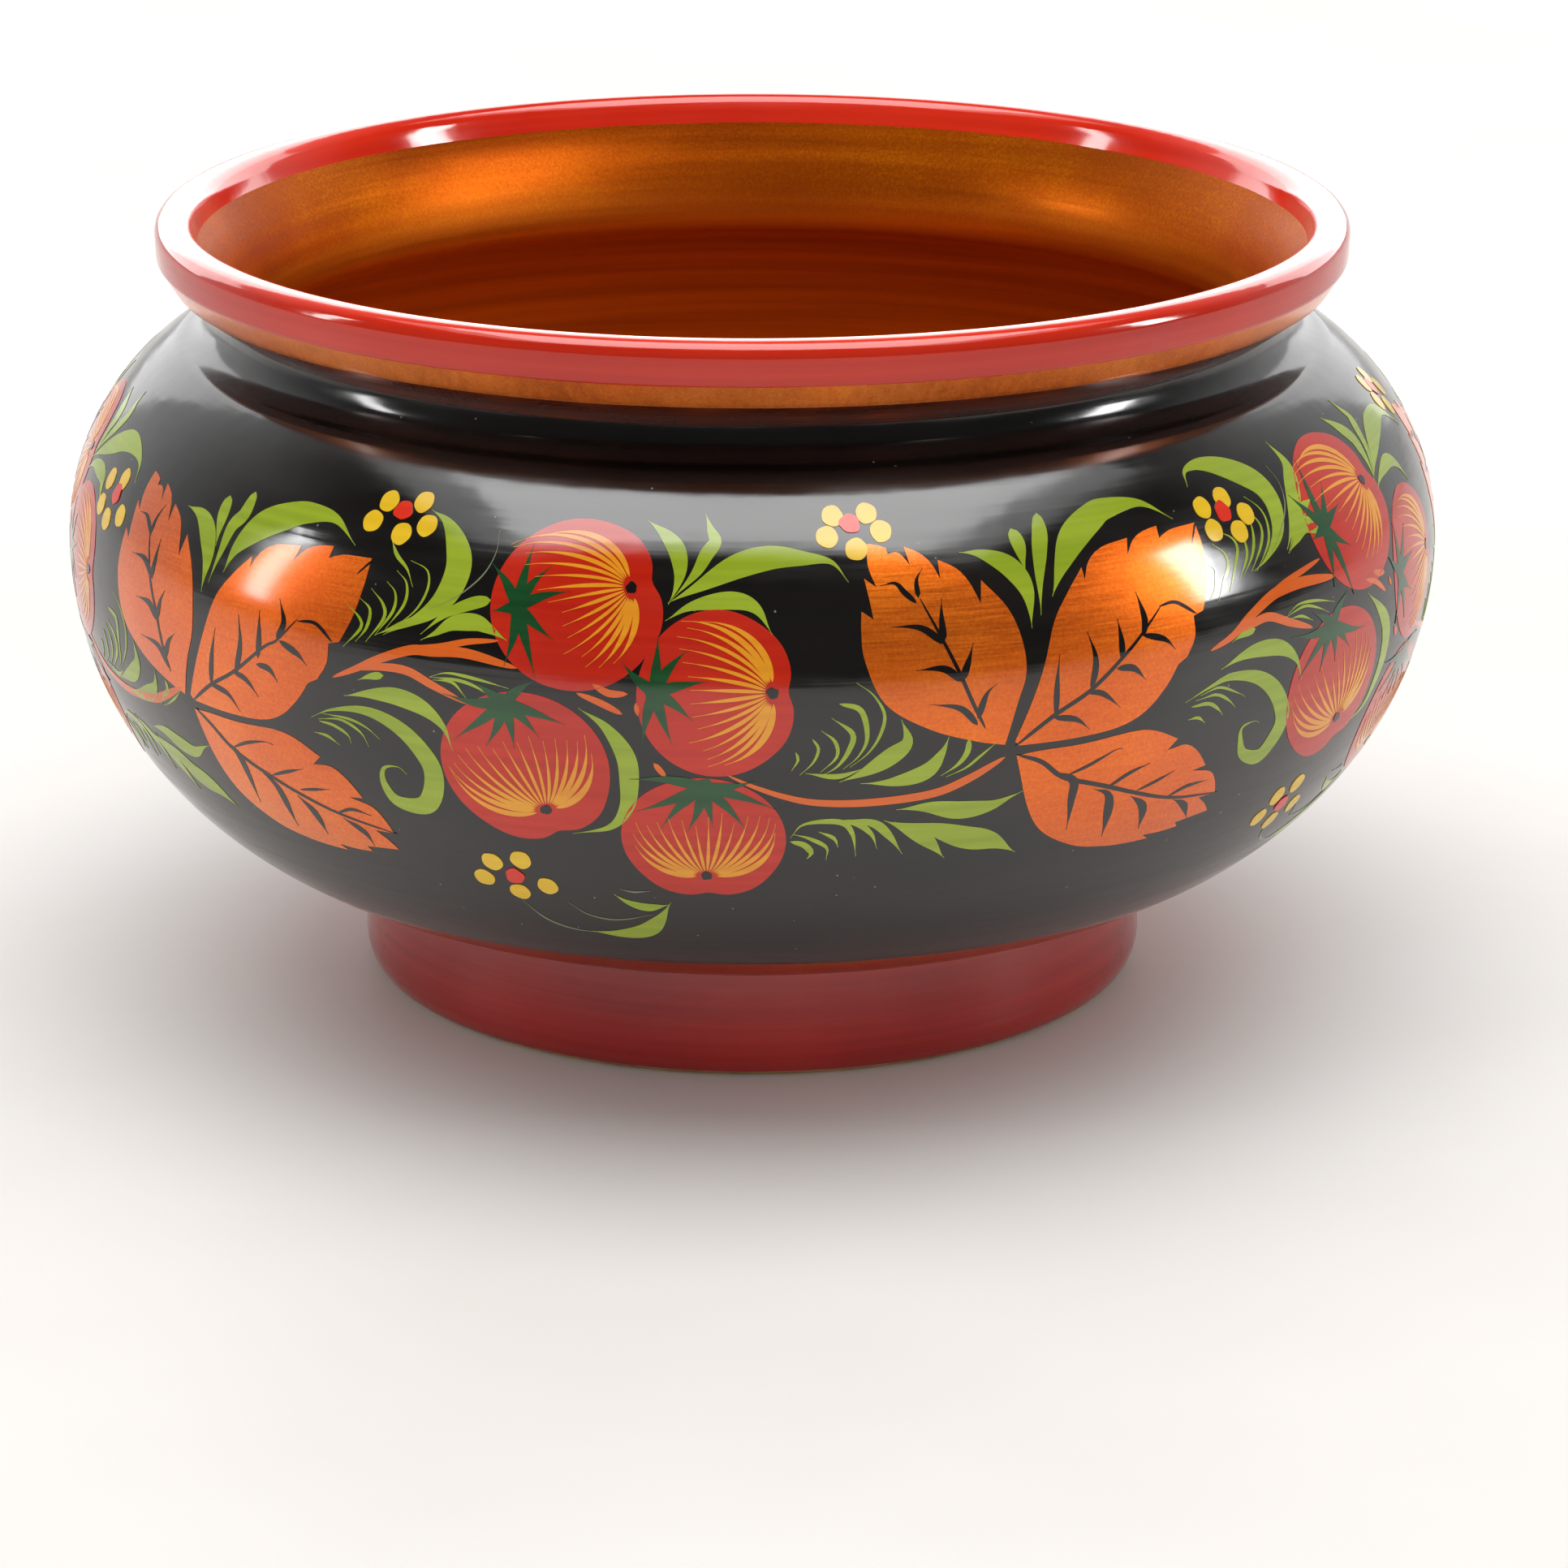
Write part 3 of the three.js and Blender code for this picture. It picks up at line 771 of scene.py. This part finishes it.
def berry_strokes(size, eye, lean, rng):
    """Fine strokes that leave the eye on all sides and bend round the berry like its meridians.

    Each runs an angle t away from the eye on a ball of radius 1. Its flat x and y are then scaled to
    the berry and turned to the eye's side.
    """
    eye_angle, share = eye
    inwards, sideways = STROKE_REACH
    way = math.radians(eye_angle)
    strokes = []
    for side in np.linspace(-1, 1, BERRY_STROKES):
        # Spaced partly evenly by angle and partly evenly sideways
        around = math.pi - math.radians(52) * side - 0.58 * math.asin(side)
        reach = math.radians(60 + 24 * abs(side)) * (1 + lean * side) * rng.uniform(0.9, 1.07)
        line = []
        for t in np.linspace(0.15, reach, 8):
            bend = STROKE_HOOK * (1 - math.cos(t))
            x = math.cos(t) * share + inwards * math.sin(t) * math.cos(around) - bend
            y = sideways * math.sin(t) * math.sin(around)
            line.append((
                size[0] * (x * math.cos(way) - y * math.sin(way)),
                -size[1] * (x * math.sin(way) + y * math.cos(way)),
            ))
        width = (0.42 + 0.38 * abs(side) ** 3) * rng.uniform(0.85, 1.15)
        strokes.append((line, width, rng.uniform(0.27, 0.39)))
    return strokes


def paint_berry(repeat, centre, size, eye, lean, calyx, rays):
    middle = np.array(repeat.at([centre])[0])
    repeat.add("berry", middle + berry_outline(size, eye[0], repeat.rng))
    for line, width, peak in berry_strokes(size, eye, lean, repeat.rng):
        repeat.add("berry_stroke", stroke(middle + np.array(line), width, peak, ROUND))
    spot = middle + heading(math.radians(eye[0])) * size * eye[1]
    repeat.add("dot", blob(spot, *EYE, repeat.rng, 0.07))
    root = np.array(repeat.at([calyx])[0])
    repeat.add("calyx", blob(root, CALYX_ROOT, CALYX_ROOT, repeat.rng))
    for angle, length in rays:
        bend = math.radians(angle + repeat.rng.uniform(-7, 7))
        straight = math.radians(angle)
        reach = 1.28 * length * size[0] * repeat.rng.uniform(0.88, 1.1)
        half_way = root + heading(bend) * reach / 2
        tip = root + heading(straight) * reach
        back = root - 0.12 * (tip - root)
        repeat.add("calyx", stroke([back, half_way, tip], CALYX_RAY, 0.24))


# How far each repeat's leaves, its sprigs and its four berries stray from their even places
STRAYS = {
    -2: ((0.5, 1), (0.8, -0.9), [(1.2, 0.6), (1.8, 0.4), (0.7, 0.2), (1.6, 1.2)]),
    -1: ((1.2, 2.8), (0.6, 0.4), [(1.4, 1.3), (0.6, 1.8), (1.1, 0.3), (0.9, 1.4)]),
    0: ((0, 0), (0, 0), [(0, 0)] * 4),
    1: ((0.4, 1.2), (-0.4, -1.8), [(0.3, -0.9), (0.6, 0.3), (-0.6, -0.6), (0.2, 0.4)]),
    2: ((-0.4, 1.6), (0.2, 0.1), [(0.5, 1.7), (1.3, 1.1), (1.7, 0.5), (0.4, 0.9)]),
}


def paint_repeat(number):
    """All the outlines of one repeat, by colour."""
    repeat = Repeat(number)
    rng = repeat.rng
    leaf_stray, sprig_stray, berry_strays = STRAYS[number]
    odd = number % 2
    repeat.shift = leaf_stray
    for runs in (LEAF_UP_LEFT, LEAF_UP_RIGHT, LEAF_DOWN):
        repeat.add("gold_leaf", repeat.at(leaf(runs)))
    repeat.strokes("vein", MIDRIBS, head=ROUND, tail=ROUND)
    repeat.strokes("vein", SIDE_VEINS, head=ROUND)
    repeat.strokes("vein", CURVED_VEINS)
    for sprig in (TOP_SPRIG, SIDE_FERN, LOW_FERN):
        repeat.strokes("green", sprig)
    repeat.shift = sprig_stray
    arch, beside = (HIGH_ARCH, POINTED) if odd else (ARCH, DROPS)
    for sprig in (CROWN_SPRIG, arch, beside, CURL_FERN, LONG_LEAF, LOW_SPRIG):
        repeat.strokes("green", sprig)
    repeat.strokes("tendril", TENDRILS)
    repeat.strokes("stem", STEMS, head=ROUND, tail=ROUND)
    crown_flower = LOW_CROWN_FLOWER if number == -1 else CROWN_FLOWER
    repeat.shift = (0, 0)
    for heart, petals in (crown_flower, HIGH_ARCH_FLOWER if odd else ARCH_FLOWER, LOW_FLOWER):
        repeat.add("heart", blob(repeat.at([heart])[0], HEART, HEART, rng))
        for petal in petals:
            repeat.add("petal", blob(repeat.at([petal])[0], PETAL, PETAL * 1.02, rng, 0.02))
    for stray, (centre, size, eye, lean, calyx, rays) in zip(berry_strays, BERRIES):
        repeat.shift = stray
        paint_berry(repeat, centre, size, eye, lean, calyx, rays)
    return repeat.paint


# ---- materials
def fill(node, values):
    """Sets a node's sockets, named with _ for a space."""
    for socket, value in values.items():
        node.inputs[socket.replace("_", " ")].default_value = value
    return node


def add_node(tree, kind, **values):
    return fill(tree.nodes.new("ShaderNode" + kind), values)


def principled(tree):
    return tree.nodes["Principled BSDF"]


def shader(name, **settings):
    material = bpy.data.materials.new(name)
    material.use_nodes = True
    fill(principled(material.node_tree), settings)
    return material, material.node_tree


def rgb(display):
    """A colour's three 0-255 display values as the linear RGBA that nodes take."""
    shares = [c / 255 for c in display]
    return (*[c / 12.92 if c <= 0.04 else ((c + 0.055) / 1.055) ** 2.4 for c in shares], 1)


def noise(tree, stretch, detail=2.0, rough=0.5):
    """Noise over the object's own space; stretch is how many features fit in a metre on each axis."""
    mapping = add_node(tree, "Mapping", Scale=stretch)
    field = add_node(tree, "TexNoise", Scale=1, Detail=detail, Roughness=rough)
    tree.links.new(add_node(tree, "TexCoord").outputs["Object"], mapping.inputs["Vector"])
    tree.links.new(mapping.outputs["Vector"], field.inputs["Vector"])
    return field.outputs["Fac"]


def specks(tree, per_metre, size, share):
    """1 inside small scattered dots and 0 elsewhere."""
    cells = add_node(tree, "TexVoronoi", Scale=per_metre)
    tree.links.new(add_node(tree, "TexCoord").outputs["Object"], cells.inputs["Vector"])
    near = arithmetic(tree, "LESS_THAN", cells.outputs["Distance"], size)
    pick = add_node(tree, "SeparateColor")
    tree.links.new(cells.outputs["Color"], pick.inputs["Color"])
    chosen = arithmetic(tree, "LESS_THAN", pick.outputs["Red"], share)
    return arithmetic(tree, "MULTIPLY", near, chosen)


def connect(tree, source, socket):
    """Gives a socket a fixed value, or links it to another node's output."""
    if isinstance(source, bpy.types.NodeSocket):
        tree.links.new(source, socket)
    else:
        socket.default_value = source


def arithmetic(tree, operation, *values):
    node = add_node(tree, "Math")
    node.operation = operation
    for value, socket in zip(values, node.inputs):
        connect(tree, value, socket)
    return node.outputs["Value"]


def ramp(tree, source, *stops):
    """A colour ramp; stops are (place, display colour)."""
    node = add_node(tree, "ValToRGB")
    elements = node.color_ramp.elements
    while len(elements) < len(stops):
        elements.new(0.5)
    for element, (place, colour) in zip(elements, stops):
        element.position = place
        element.color = rgb(colour)
    tree.links.new(source, node.inputs["Fac"])
    return node.outputs["Color"]


def spread(tree, source, low, high, start=0.3, end=0.7):
    """Maps noise between start and end to values between low and high."""
    node = add_node(tree, "MapRange", From_Min=start, From_Max=end, To_Min=low, To_Max=high)
    tree.links.new(source, node.inputs["Value"])
    return node.outputs["Result"]


def mixed(tree, factor, first, second):
    """Mixes two colours, each a socket or a fixed RGBA."""
    node = add_node(tree, "Mix")
    node.data_type = "RGBA"
    tree.links.new(factor, node.inputs["Factor"])
    # A Mix node's colour sockets share their names with others, so they go by number
    connect(tree, first, node.inputs[6])
    connect(tree, second, node.inputs[7])
    return node.outputs[2]


def bump(tree, height, rise):
    """Relief from a height field; rise is in mm."""
    node = add_node(tree, "Bump", Distance=rise * MM)
    tree.links.new(height, node.inputs["Height"])
    feed(tree, "Normal", node.outputs["Normal"])


def feed(tree, socket, source):
    tree.links.new(source, principled(tree).inputs[socket])


def base_colour(tree):
    return principled(tree).inputs["Base Color"].links[0].from_socket


def total(tree, *parts):
    """Adds height fields, each given as (field, weight)."""
    whole = None
    for field, weight in parts:
        part = arithmetic(tree, "MULTIPLY", field, weight)
        whole = part if whole is None else arithmetic(tree, "ADD", whole, part)
    return whole


# Stretches of noise
ORANGE_PEEL = (260, 260, 260)
TURNING = (14, 14, 900)  # marks that run round the bowl
UPRIGHT = (900, 900, 60)  # grain that runs up and down a band
CLOUD = (35, 35, 35)


def gloss_paint(name, dark, light, roughness=0.13, peel=0.02, streak=0.01, shine=0.7):
    """Oil paint or enamel under clear lacquer: a cloudy, brushed colour and a slightly uneven gloss."""
    material, tree = shader(name, Specular_IOR_Level=shine)
    brushed = noise(tree, TURNING, 3)
    cloud = noise(tree, CLOUD, 3)
    tone = total(tree, (brushed, 0.5), (cloud, 0.5))
    feed(tree, "Base Color", ramp(tree, tone, (0.32, dark), (0.68, light)))
    sheen = noise(tree, (90, 90, 260), 3)
    feed(tree, "Roughness", spread(tree, sheen, roughness * 0.7, roughness * 1.4))
    bump(tree, total(tree, (noise(tree, ORANGE_PEEL, 1), peel), (brushed, streak)), 1)
    return material


def black_lacquer():
    material, tree = shader("black_lacquer", Specular_IOR_Level=0.75)
    cloud = noise(tree, (30, 30, 120), 3)
    base = ramp(tree, cloud, (0.35, (13, 11, 9)), (0.65, (24, 20, 17)))
    dust = specks(tree, 420, 0.06, 0.25)
    feed(tree, "Base Color", mixed(tree, dust, base, rgb((120, 116, 108))))
    feed(tree, "Roughness", spread(tree, noise(tree, (60, 60, 400), 4), 0.09, 0.2))
    peel = noise(tree, ORANGE_PEEL, 1)
    ripple = noise(tree, (24, 24, 260), 2)
    turning = noise(tree, TURNING, 2)
    bump(tree, total(tree, (peel, 0.024), (ripple, 0.09), (turning, 0.02), (dust, 0.04)), 1)
    return material


def tin_gold(name, dark, middle, light, grain, roughness, coat_roughness, relief, metallic, coat):
    """Tin powder under amber lacquer: a metallic colour in fine streaks beneath a clear gloss."""
    material, tree = shader(
        name, Metallic=metallic, Specular_IOR_Level=0.15, Coat_Weight=coat, Coat_Roughness=coat_roughness
    )
    streaks = noise(tree, grain, 4, 0.6)
    sparkle = noise(tree, (2600, 2600, 2600), 1)
    cloud = noise(tree, CLOUD, 3)
    tone = total(tree, (streaks, 0.24), (cloud, 0.5), (sparkle, 0.26))
    feed(tree, "Base Color", ramp(tree, tone, (0.36, dark), (0.5, middle), (0.64, light)))
    feed(tree, "Roughness", spread(tree, streaks, roughness * 0.8, roughness * 1.25))
    bump(tree, total(tree, (streaks, relief), (sparkle, relief / 3)), 1)
    return material


def gold_band_material():
    material = tin_gold(
        "gold_band", (204, 96, 30), (226, 116, 42), (238, 136, 62), UPRIGHT,
        0.36, 0.12, 0.012, metallic=0.6, coat=0.7,
    )
    tree = material.node_tree
    pits = specks(tree, 260, 0.12, 0.12)
    feed(tree, "Base Color", mixed(tree, pits, base_colour(tree), rgb((110, 44, 12))))
    return material


def gilding_material():
    """The gilding inside: an amber throat above a browner hollow, with one soft edge between them. The
    hollow's lighter, yellower base is painted light that makes up for the dim cavity, and the edge is placed
    where the hollow falls into shadow.
    """
    material = tin_gold(
        "interior_gilding", (180, 76, 2), (208, 98, 2), (238, 132, 4), (10, 10, 620),
        0.42, 0.3, 0.012, metallic=0.68, coat=0.0,
    )
    tree = material.node_tree
    axes = add_node(tree, "SeparateXYZ")
    tree.links.new(add_node(tree, "TexCoord").outputs["Object"], axes.inputs["Vector"])
    uneven = arithmetic(tree, "MULTIPLY", noise(tree, (12, 12, 60), 2), 6 * MM)
    height = arithmetic(tree, "ADD", axes.outputs["Z"], uneven)
    # Painted light: below the throat the base blends to a lighter, yellower colour that stands in for light
    # the shadowed hollow lacks
    shade = spread(tree, height, 1, 0, (THROAT_BOTTOM - 2) * MM, (THROAT_BOTTOM + 9) * MM)
    rings = noise(tree, (10, 10, 420), 3)
    hollow = ramp(tree, rings, (0.35, (196, 112, 22)), (0.65, (228, 136, 34)))
    feed(tree, "Base Color", mixed(tree, shade, base_colour(tree), hollow))
    return material


# The undercut is gilded like the band above it: its dark browns are painted shade and a painted reflection
# of the black shoulder, as it faces down under the rim
def undercut_painted_shade_material():
    material, tree = shader("undercut_painted_shade", Metallic=0.3, Coat_Weight=0.15, Coat_Roughness=0.15)
    streaks = noise(tree, (10, 10, 1400), 3, 0.6)
    blotch = noise(tree, (120, 120, 500), 3)
    tone = total(tree, (streaks, 0.6), (blotch, 0.4))
    browns = (0.38, (66, 20, 5)), (0.56, (104, 38, 10)), (0.7, (150, 60, 18))
    feed(tree, "Base Color", ramp(tree, tone, *browns))
    feed(tree, "Roughness", spread(tree, blotch, 0.22, 0.4))
    bump(tree, streaks, 0.02)
    return material


def wood_material():
    material, tree = shader("lime_wood")
    grain = noise(tree, (160, 22, 900), 5, 0.6)
    browns = (0.3, (160, 120, 76)), (0.55, (188, 150, 102)), (0.8, (206, 172, 126))
    feed(tree, "Base Color", ramp(tree, grain, *browns))
    feed(tree, "Roughness", spread(tree, grain, 0.5, 0.72))
    bump(tree, grain, 0.05)
    return material


WOOD_FINISH = wood_material()
BLACK = black_lacquer()
GOLD_BAND = gold_band_material()
GILDING = gilding_material()
LEAF_GOLD = tin_gold(
    "leaf_gold", (208, 86, 8), (230, 106, 14), (246, 128, 24), (150, 150, 4200),
    0.36, 0.13, 0.012, metallic=0.7, coat=0.9,
)
RIM_RED = gloss_paint("rim_red", (174, 28, 8), (196, 42, 18), 0.1, 0.035, 0.004, shine=0.6)
FOOT_RED = gloss_paint("foot_red", (140, 20, 16), (178, 38, 30), 0.1, 0.05, 0.03)
# The underside band is gold like the rim band, painted darker: painted shade, as it faces down towards the
# floor
UNDERSIDE_GOLD_PAINTED_SHADE = tin_gold(
    "underside_gold_painted_shade", (120, 42, 14), (150, 56, 18), (182, 76, 26), (30, 30, 900),
    0.34, 0.1, 0.012, metallic=0.5, coat=0.7,
)
UNDERCUT_PAINTED_SHADE = undercut_painted_shade_material()

# Ornament colours, in the order they are laid: key, piece name, top depth, slot, material
PAINTS = [
    ("tendril", "grey_tendrils", FIRST_FILM, "leaf_green",
     gloss_paint("tendril_grey", (104, 112, 84), (134, 140, 112))),
    ("green", "green_sprigs", FIRST_FILM, "leaf_green",
     gloss_paint("sprig_green", (130, 152, 26), (162, 182, 48))),
    ("stem", "orange_stems", FIRST_FILM, "stem_orange",
     gloss_paint("stem_orange", (206, 84, 16), (228, 108, 28))),
    ("gold_leaf", "gold_leaves", FIRST_FILM, "leaf_gold", LEAF_GOLD),
    ("berry", "berries", FIRST_FILM, "berry_red",
     gloss_paint("berry_red", (174, 24, 4), (202, 42, 14))),
    ("vein", "leaf_veins", SECOND_FILM, "black_lacquer", BLACK),
    ("calyx", "berry_calyxes", SECOND_FILM, "calyx_green",
     gloss_paint("calyx_green", (10, 58, 26), (28, 84, 40))),
    ("berry_stroke", "berry_strokes", SECOND_FILM, "flower_yellow",
     gloss_paint("stroke_amber", (216, 134, 18), (234, 164, 40))),
    ("petal", "flower_petals", SECOND_FILM, "flower_yellow",
     gloss_paint("petal_yellow", (218, 172, 16), (236, 196, 40))),
    ("heart", "flower_hearts", THIRD_FILM, "berry_red",
     gloss_paint("heart_red", (206, 34, 14), (226, 52, 28))),
    ("dot", "berry_eyes", THIRD_FILM, "black_lacquer", BLACK),
]

# ---- the bowl
turned("turned_body", body_section, WOOD_FINISH, "bowl_body")
turned("turned_rim", rim_section, WOOD_FINISH, "rim_ring")
turned("turned_foot", foot_section, WOOD_FINISH, "foot_block")
gilded = turned("gilded_inside", gilding_section, GILDING, "interior_gilding")
turned("black_ground", ground_section, BLACK, "black_ground_coat")
turned("underside_band", underside_section, UNDERSIDE_GOLD_PAINTED_SHADE, "underside_gold_band")
rim = turned("rim_enamel", enamel_section, RIM_RED, "rim_red_enamel")
turned("rim_band", band_section, GOLD_BAND, "rim_gold_band")
turned("undercut_band", undercut_section, UNDERCUT_PAINTED_SHADE, "rim_undercut_band")
turned("foot_enamel", foot_enamel_section, FOOT_RED, "foot_red_enamel")

repeats = [paint_repeat(number) for number in STRAYS]
for key, name, depth, slot, material in PAINTS:
    film(name, [repeat[key] for repeat in repeats], depth, material)


# ---- studio
def softbox(name, azimuth, elevation, wide, high, radiance, distance):
    """A soft light seen from the bowl at an azimuth (0 is the camera's side, 90 is +X) and elevation.

    wide and high are the angles it fills, in degrees; distance is in metres.
    """
    a, e = math.radians(azimuth), math.radians(elevation)
    towards_light = Vector((math.sin(a) * math.cos(e), -math.cos(a) * math.cos(e), math.sin(e)))
    light = bpy.data.lights.new(name, "AREA")
    light.shape = "RECTANGLE"
    light.size = 2 * distance * math.tan(math.radians(wide) / 2)
    light.size_y = 2 * distance * math.tan(math.radians(high) / 2)
    light.energy = radiance * math.pi * light.size * light.size_y
    lamp = add_object(name, light)
    lamp.location = Vector((0, 0, 0.07)) + distance * towards_light
    lamp.rotation_euler = towards_light.to_track_quat("Z", "Y").to_euler()
    lamp.visible_camera = False
    return lamp


def limit(lamp, piece, state):
    """Keeps a light off one piece (EXCLUDE) or on it alone (INCLUDE), as a flag or a snoot does."""
    group = bpy.data.collections.new(lamp.name + "_limit")
    group.objects.link(piece)
    lamp.light_linking.receiver_collection = group
    group.collection_objects[0].light_linking.link_state = state


# One overhead lamp lights the scene, and the gloss lamps are only seen in the lacquer
softbox("softbox_overhead", -4, 86, 70, 50, 1.8, 3).visible_glossy = False
reflected = [
    softbox("gloss_overhead", -6, 86, 56, 46, 4.4, 2.8),
    softbox("gloss_overhead_edge", -6, 86, 72, 54, 1.7, 2.6),
    softbox("gloss_sweep", 180, 22, 66, 40, 1.1, 2),
    softbox("gloss_right", 78, 19, 8, 20, 22, 0.8),
]
for lamp in reflected:
    limit(lamp, gilded, "EXCLUDE")
for lamp, piece in (
    (softbox("gloss_gilding", 70, 34, 24, 50, 5, 0.9), gilded),
    (softbox("gloss_rim", 180, 22, 110, 40, 3, 1.9), rim),
):
    limit(lamp, piece, "INCLUDE")
    reflected.append(lamp)
reflected.append(softbox("gloss_left", -84, 17, 5, 24, 14, 0.8))
for lamp in reflected:
    lamp.visible_diffuse = False
# Light thrown back from the bright throat onto the rim
rim_inside = softbox("rim_inside", 0, 75, 28, 28, 12, 0.12)
rim_inside.visible_glossy = False
limit(rim_inside, rim, "INCLUDE")

world = bpy.data.worlds.new("studio")
bpy.context.scene.world = world
world.use_nodes = True
sky = world.node_tree
parts = add_node(sky, "SeparateXYZ")
sky.links.new(add_node(sky, "TexCoord").outputs["Generated"], parts.inputs["Vector"])
# A white sweep stands behind the bowl; the room above it and on the camera's side is dim
backwards = spread(sky, parts.outputs["Y"], 0.07, 0.84, 0.1, 0.7)
upwards = spread(sky, parts.outputs["Z"], 1, 0.08, 0.6, 0.86)
behind = arithmetic(sky, "MULTIPLY", backwards, upwards)
rays = add_node(sky, "LightPath")
room = fill(sky.nodes["Background"], {"Color": (1, 1, 1, 1)})
backdrop = add_node(sky, "Background", Color=(1, 1, 1, 1), Strength=1)
soft_fill = arithmetic(sky, "MULTIPLY", rays.outputs["Is Diffuse Ray"], 0.64)
sky.links.new(arithmetic(sky, "ADD", behind, soft_fill), room.inputs["Strength"])
choice = add_node(sky, "MixShader")
sky.links.new(rays.outputs["Is Camera Ray"], choice.inputs["Fac"])
sky.links.new(room.outputs["Background"], choice.inputs[1])
sky.links.new(backdrop.outputs["Background"], choice.inputs[2])
sky.links.new(choice.outputs["Shader"], sky.nodes["World Output"].inputs["Surface"])

FLOOR_REACH = 6  # metres from the bowl to the floor's edges
floor_mesh = bpy.data.meshes.new("floor")
corners = [(x * FLOOR_REACH, y * FLOOR_REACH, 0) for x, y in ((-1, -1), (1, -1), (1, 1), (-1, 1))]
floor_mesh.from_pydata(corners, [], [(0, 1, 2, 3)])
add_object("floor", floor_mesh)
paper, tree = shader("pale_floor", Roughness=0.6, Specular_IOR_Level=0.3)
tone = noise(tree, (9, 9, 9), 4)
feed(tree, "Base Color", ramp(tree, tone, (0.3, (226, 222, 218)), (0.7, (234, 231, 228))))
floor_mesh.materials.append(paper)

# ---- camera
CAMERA_BACK = 0.6856  # metres from the bowl's axis
CAMERA_HEIGHT = 0.2496
CAMERA_TILT = 18.33  # degrees below level
lens = bpy.data.cameras.new("camera")
lens.sensor_width = 36
lens.lens = 122.97
lens.shift_x = 0.0202
camera = add_object("camera", lens)
camera.location = (0, -CAMERA_BACK, CAMERA_HEIGHT)
camera.rotation_euler = (math.radians(90 - CAMERA_TILT), 0, 0)
bpy.context.scene.camera = camera
bpy.context.scene.view_settings.view_transform = "Standard"
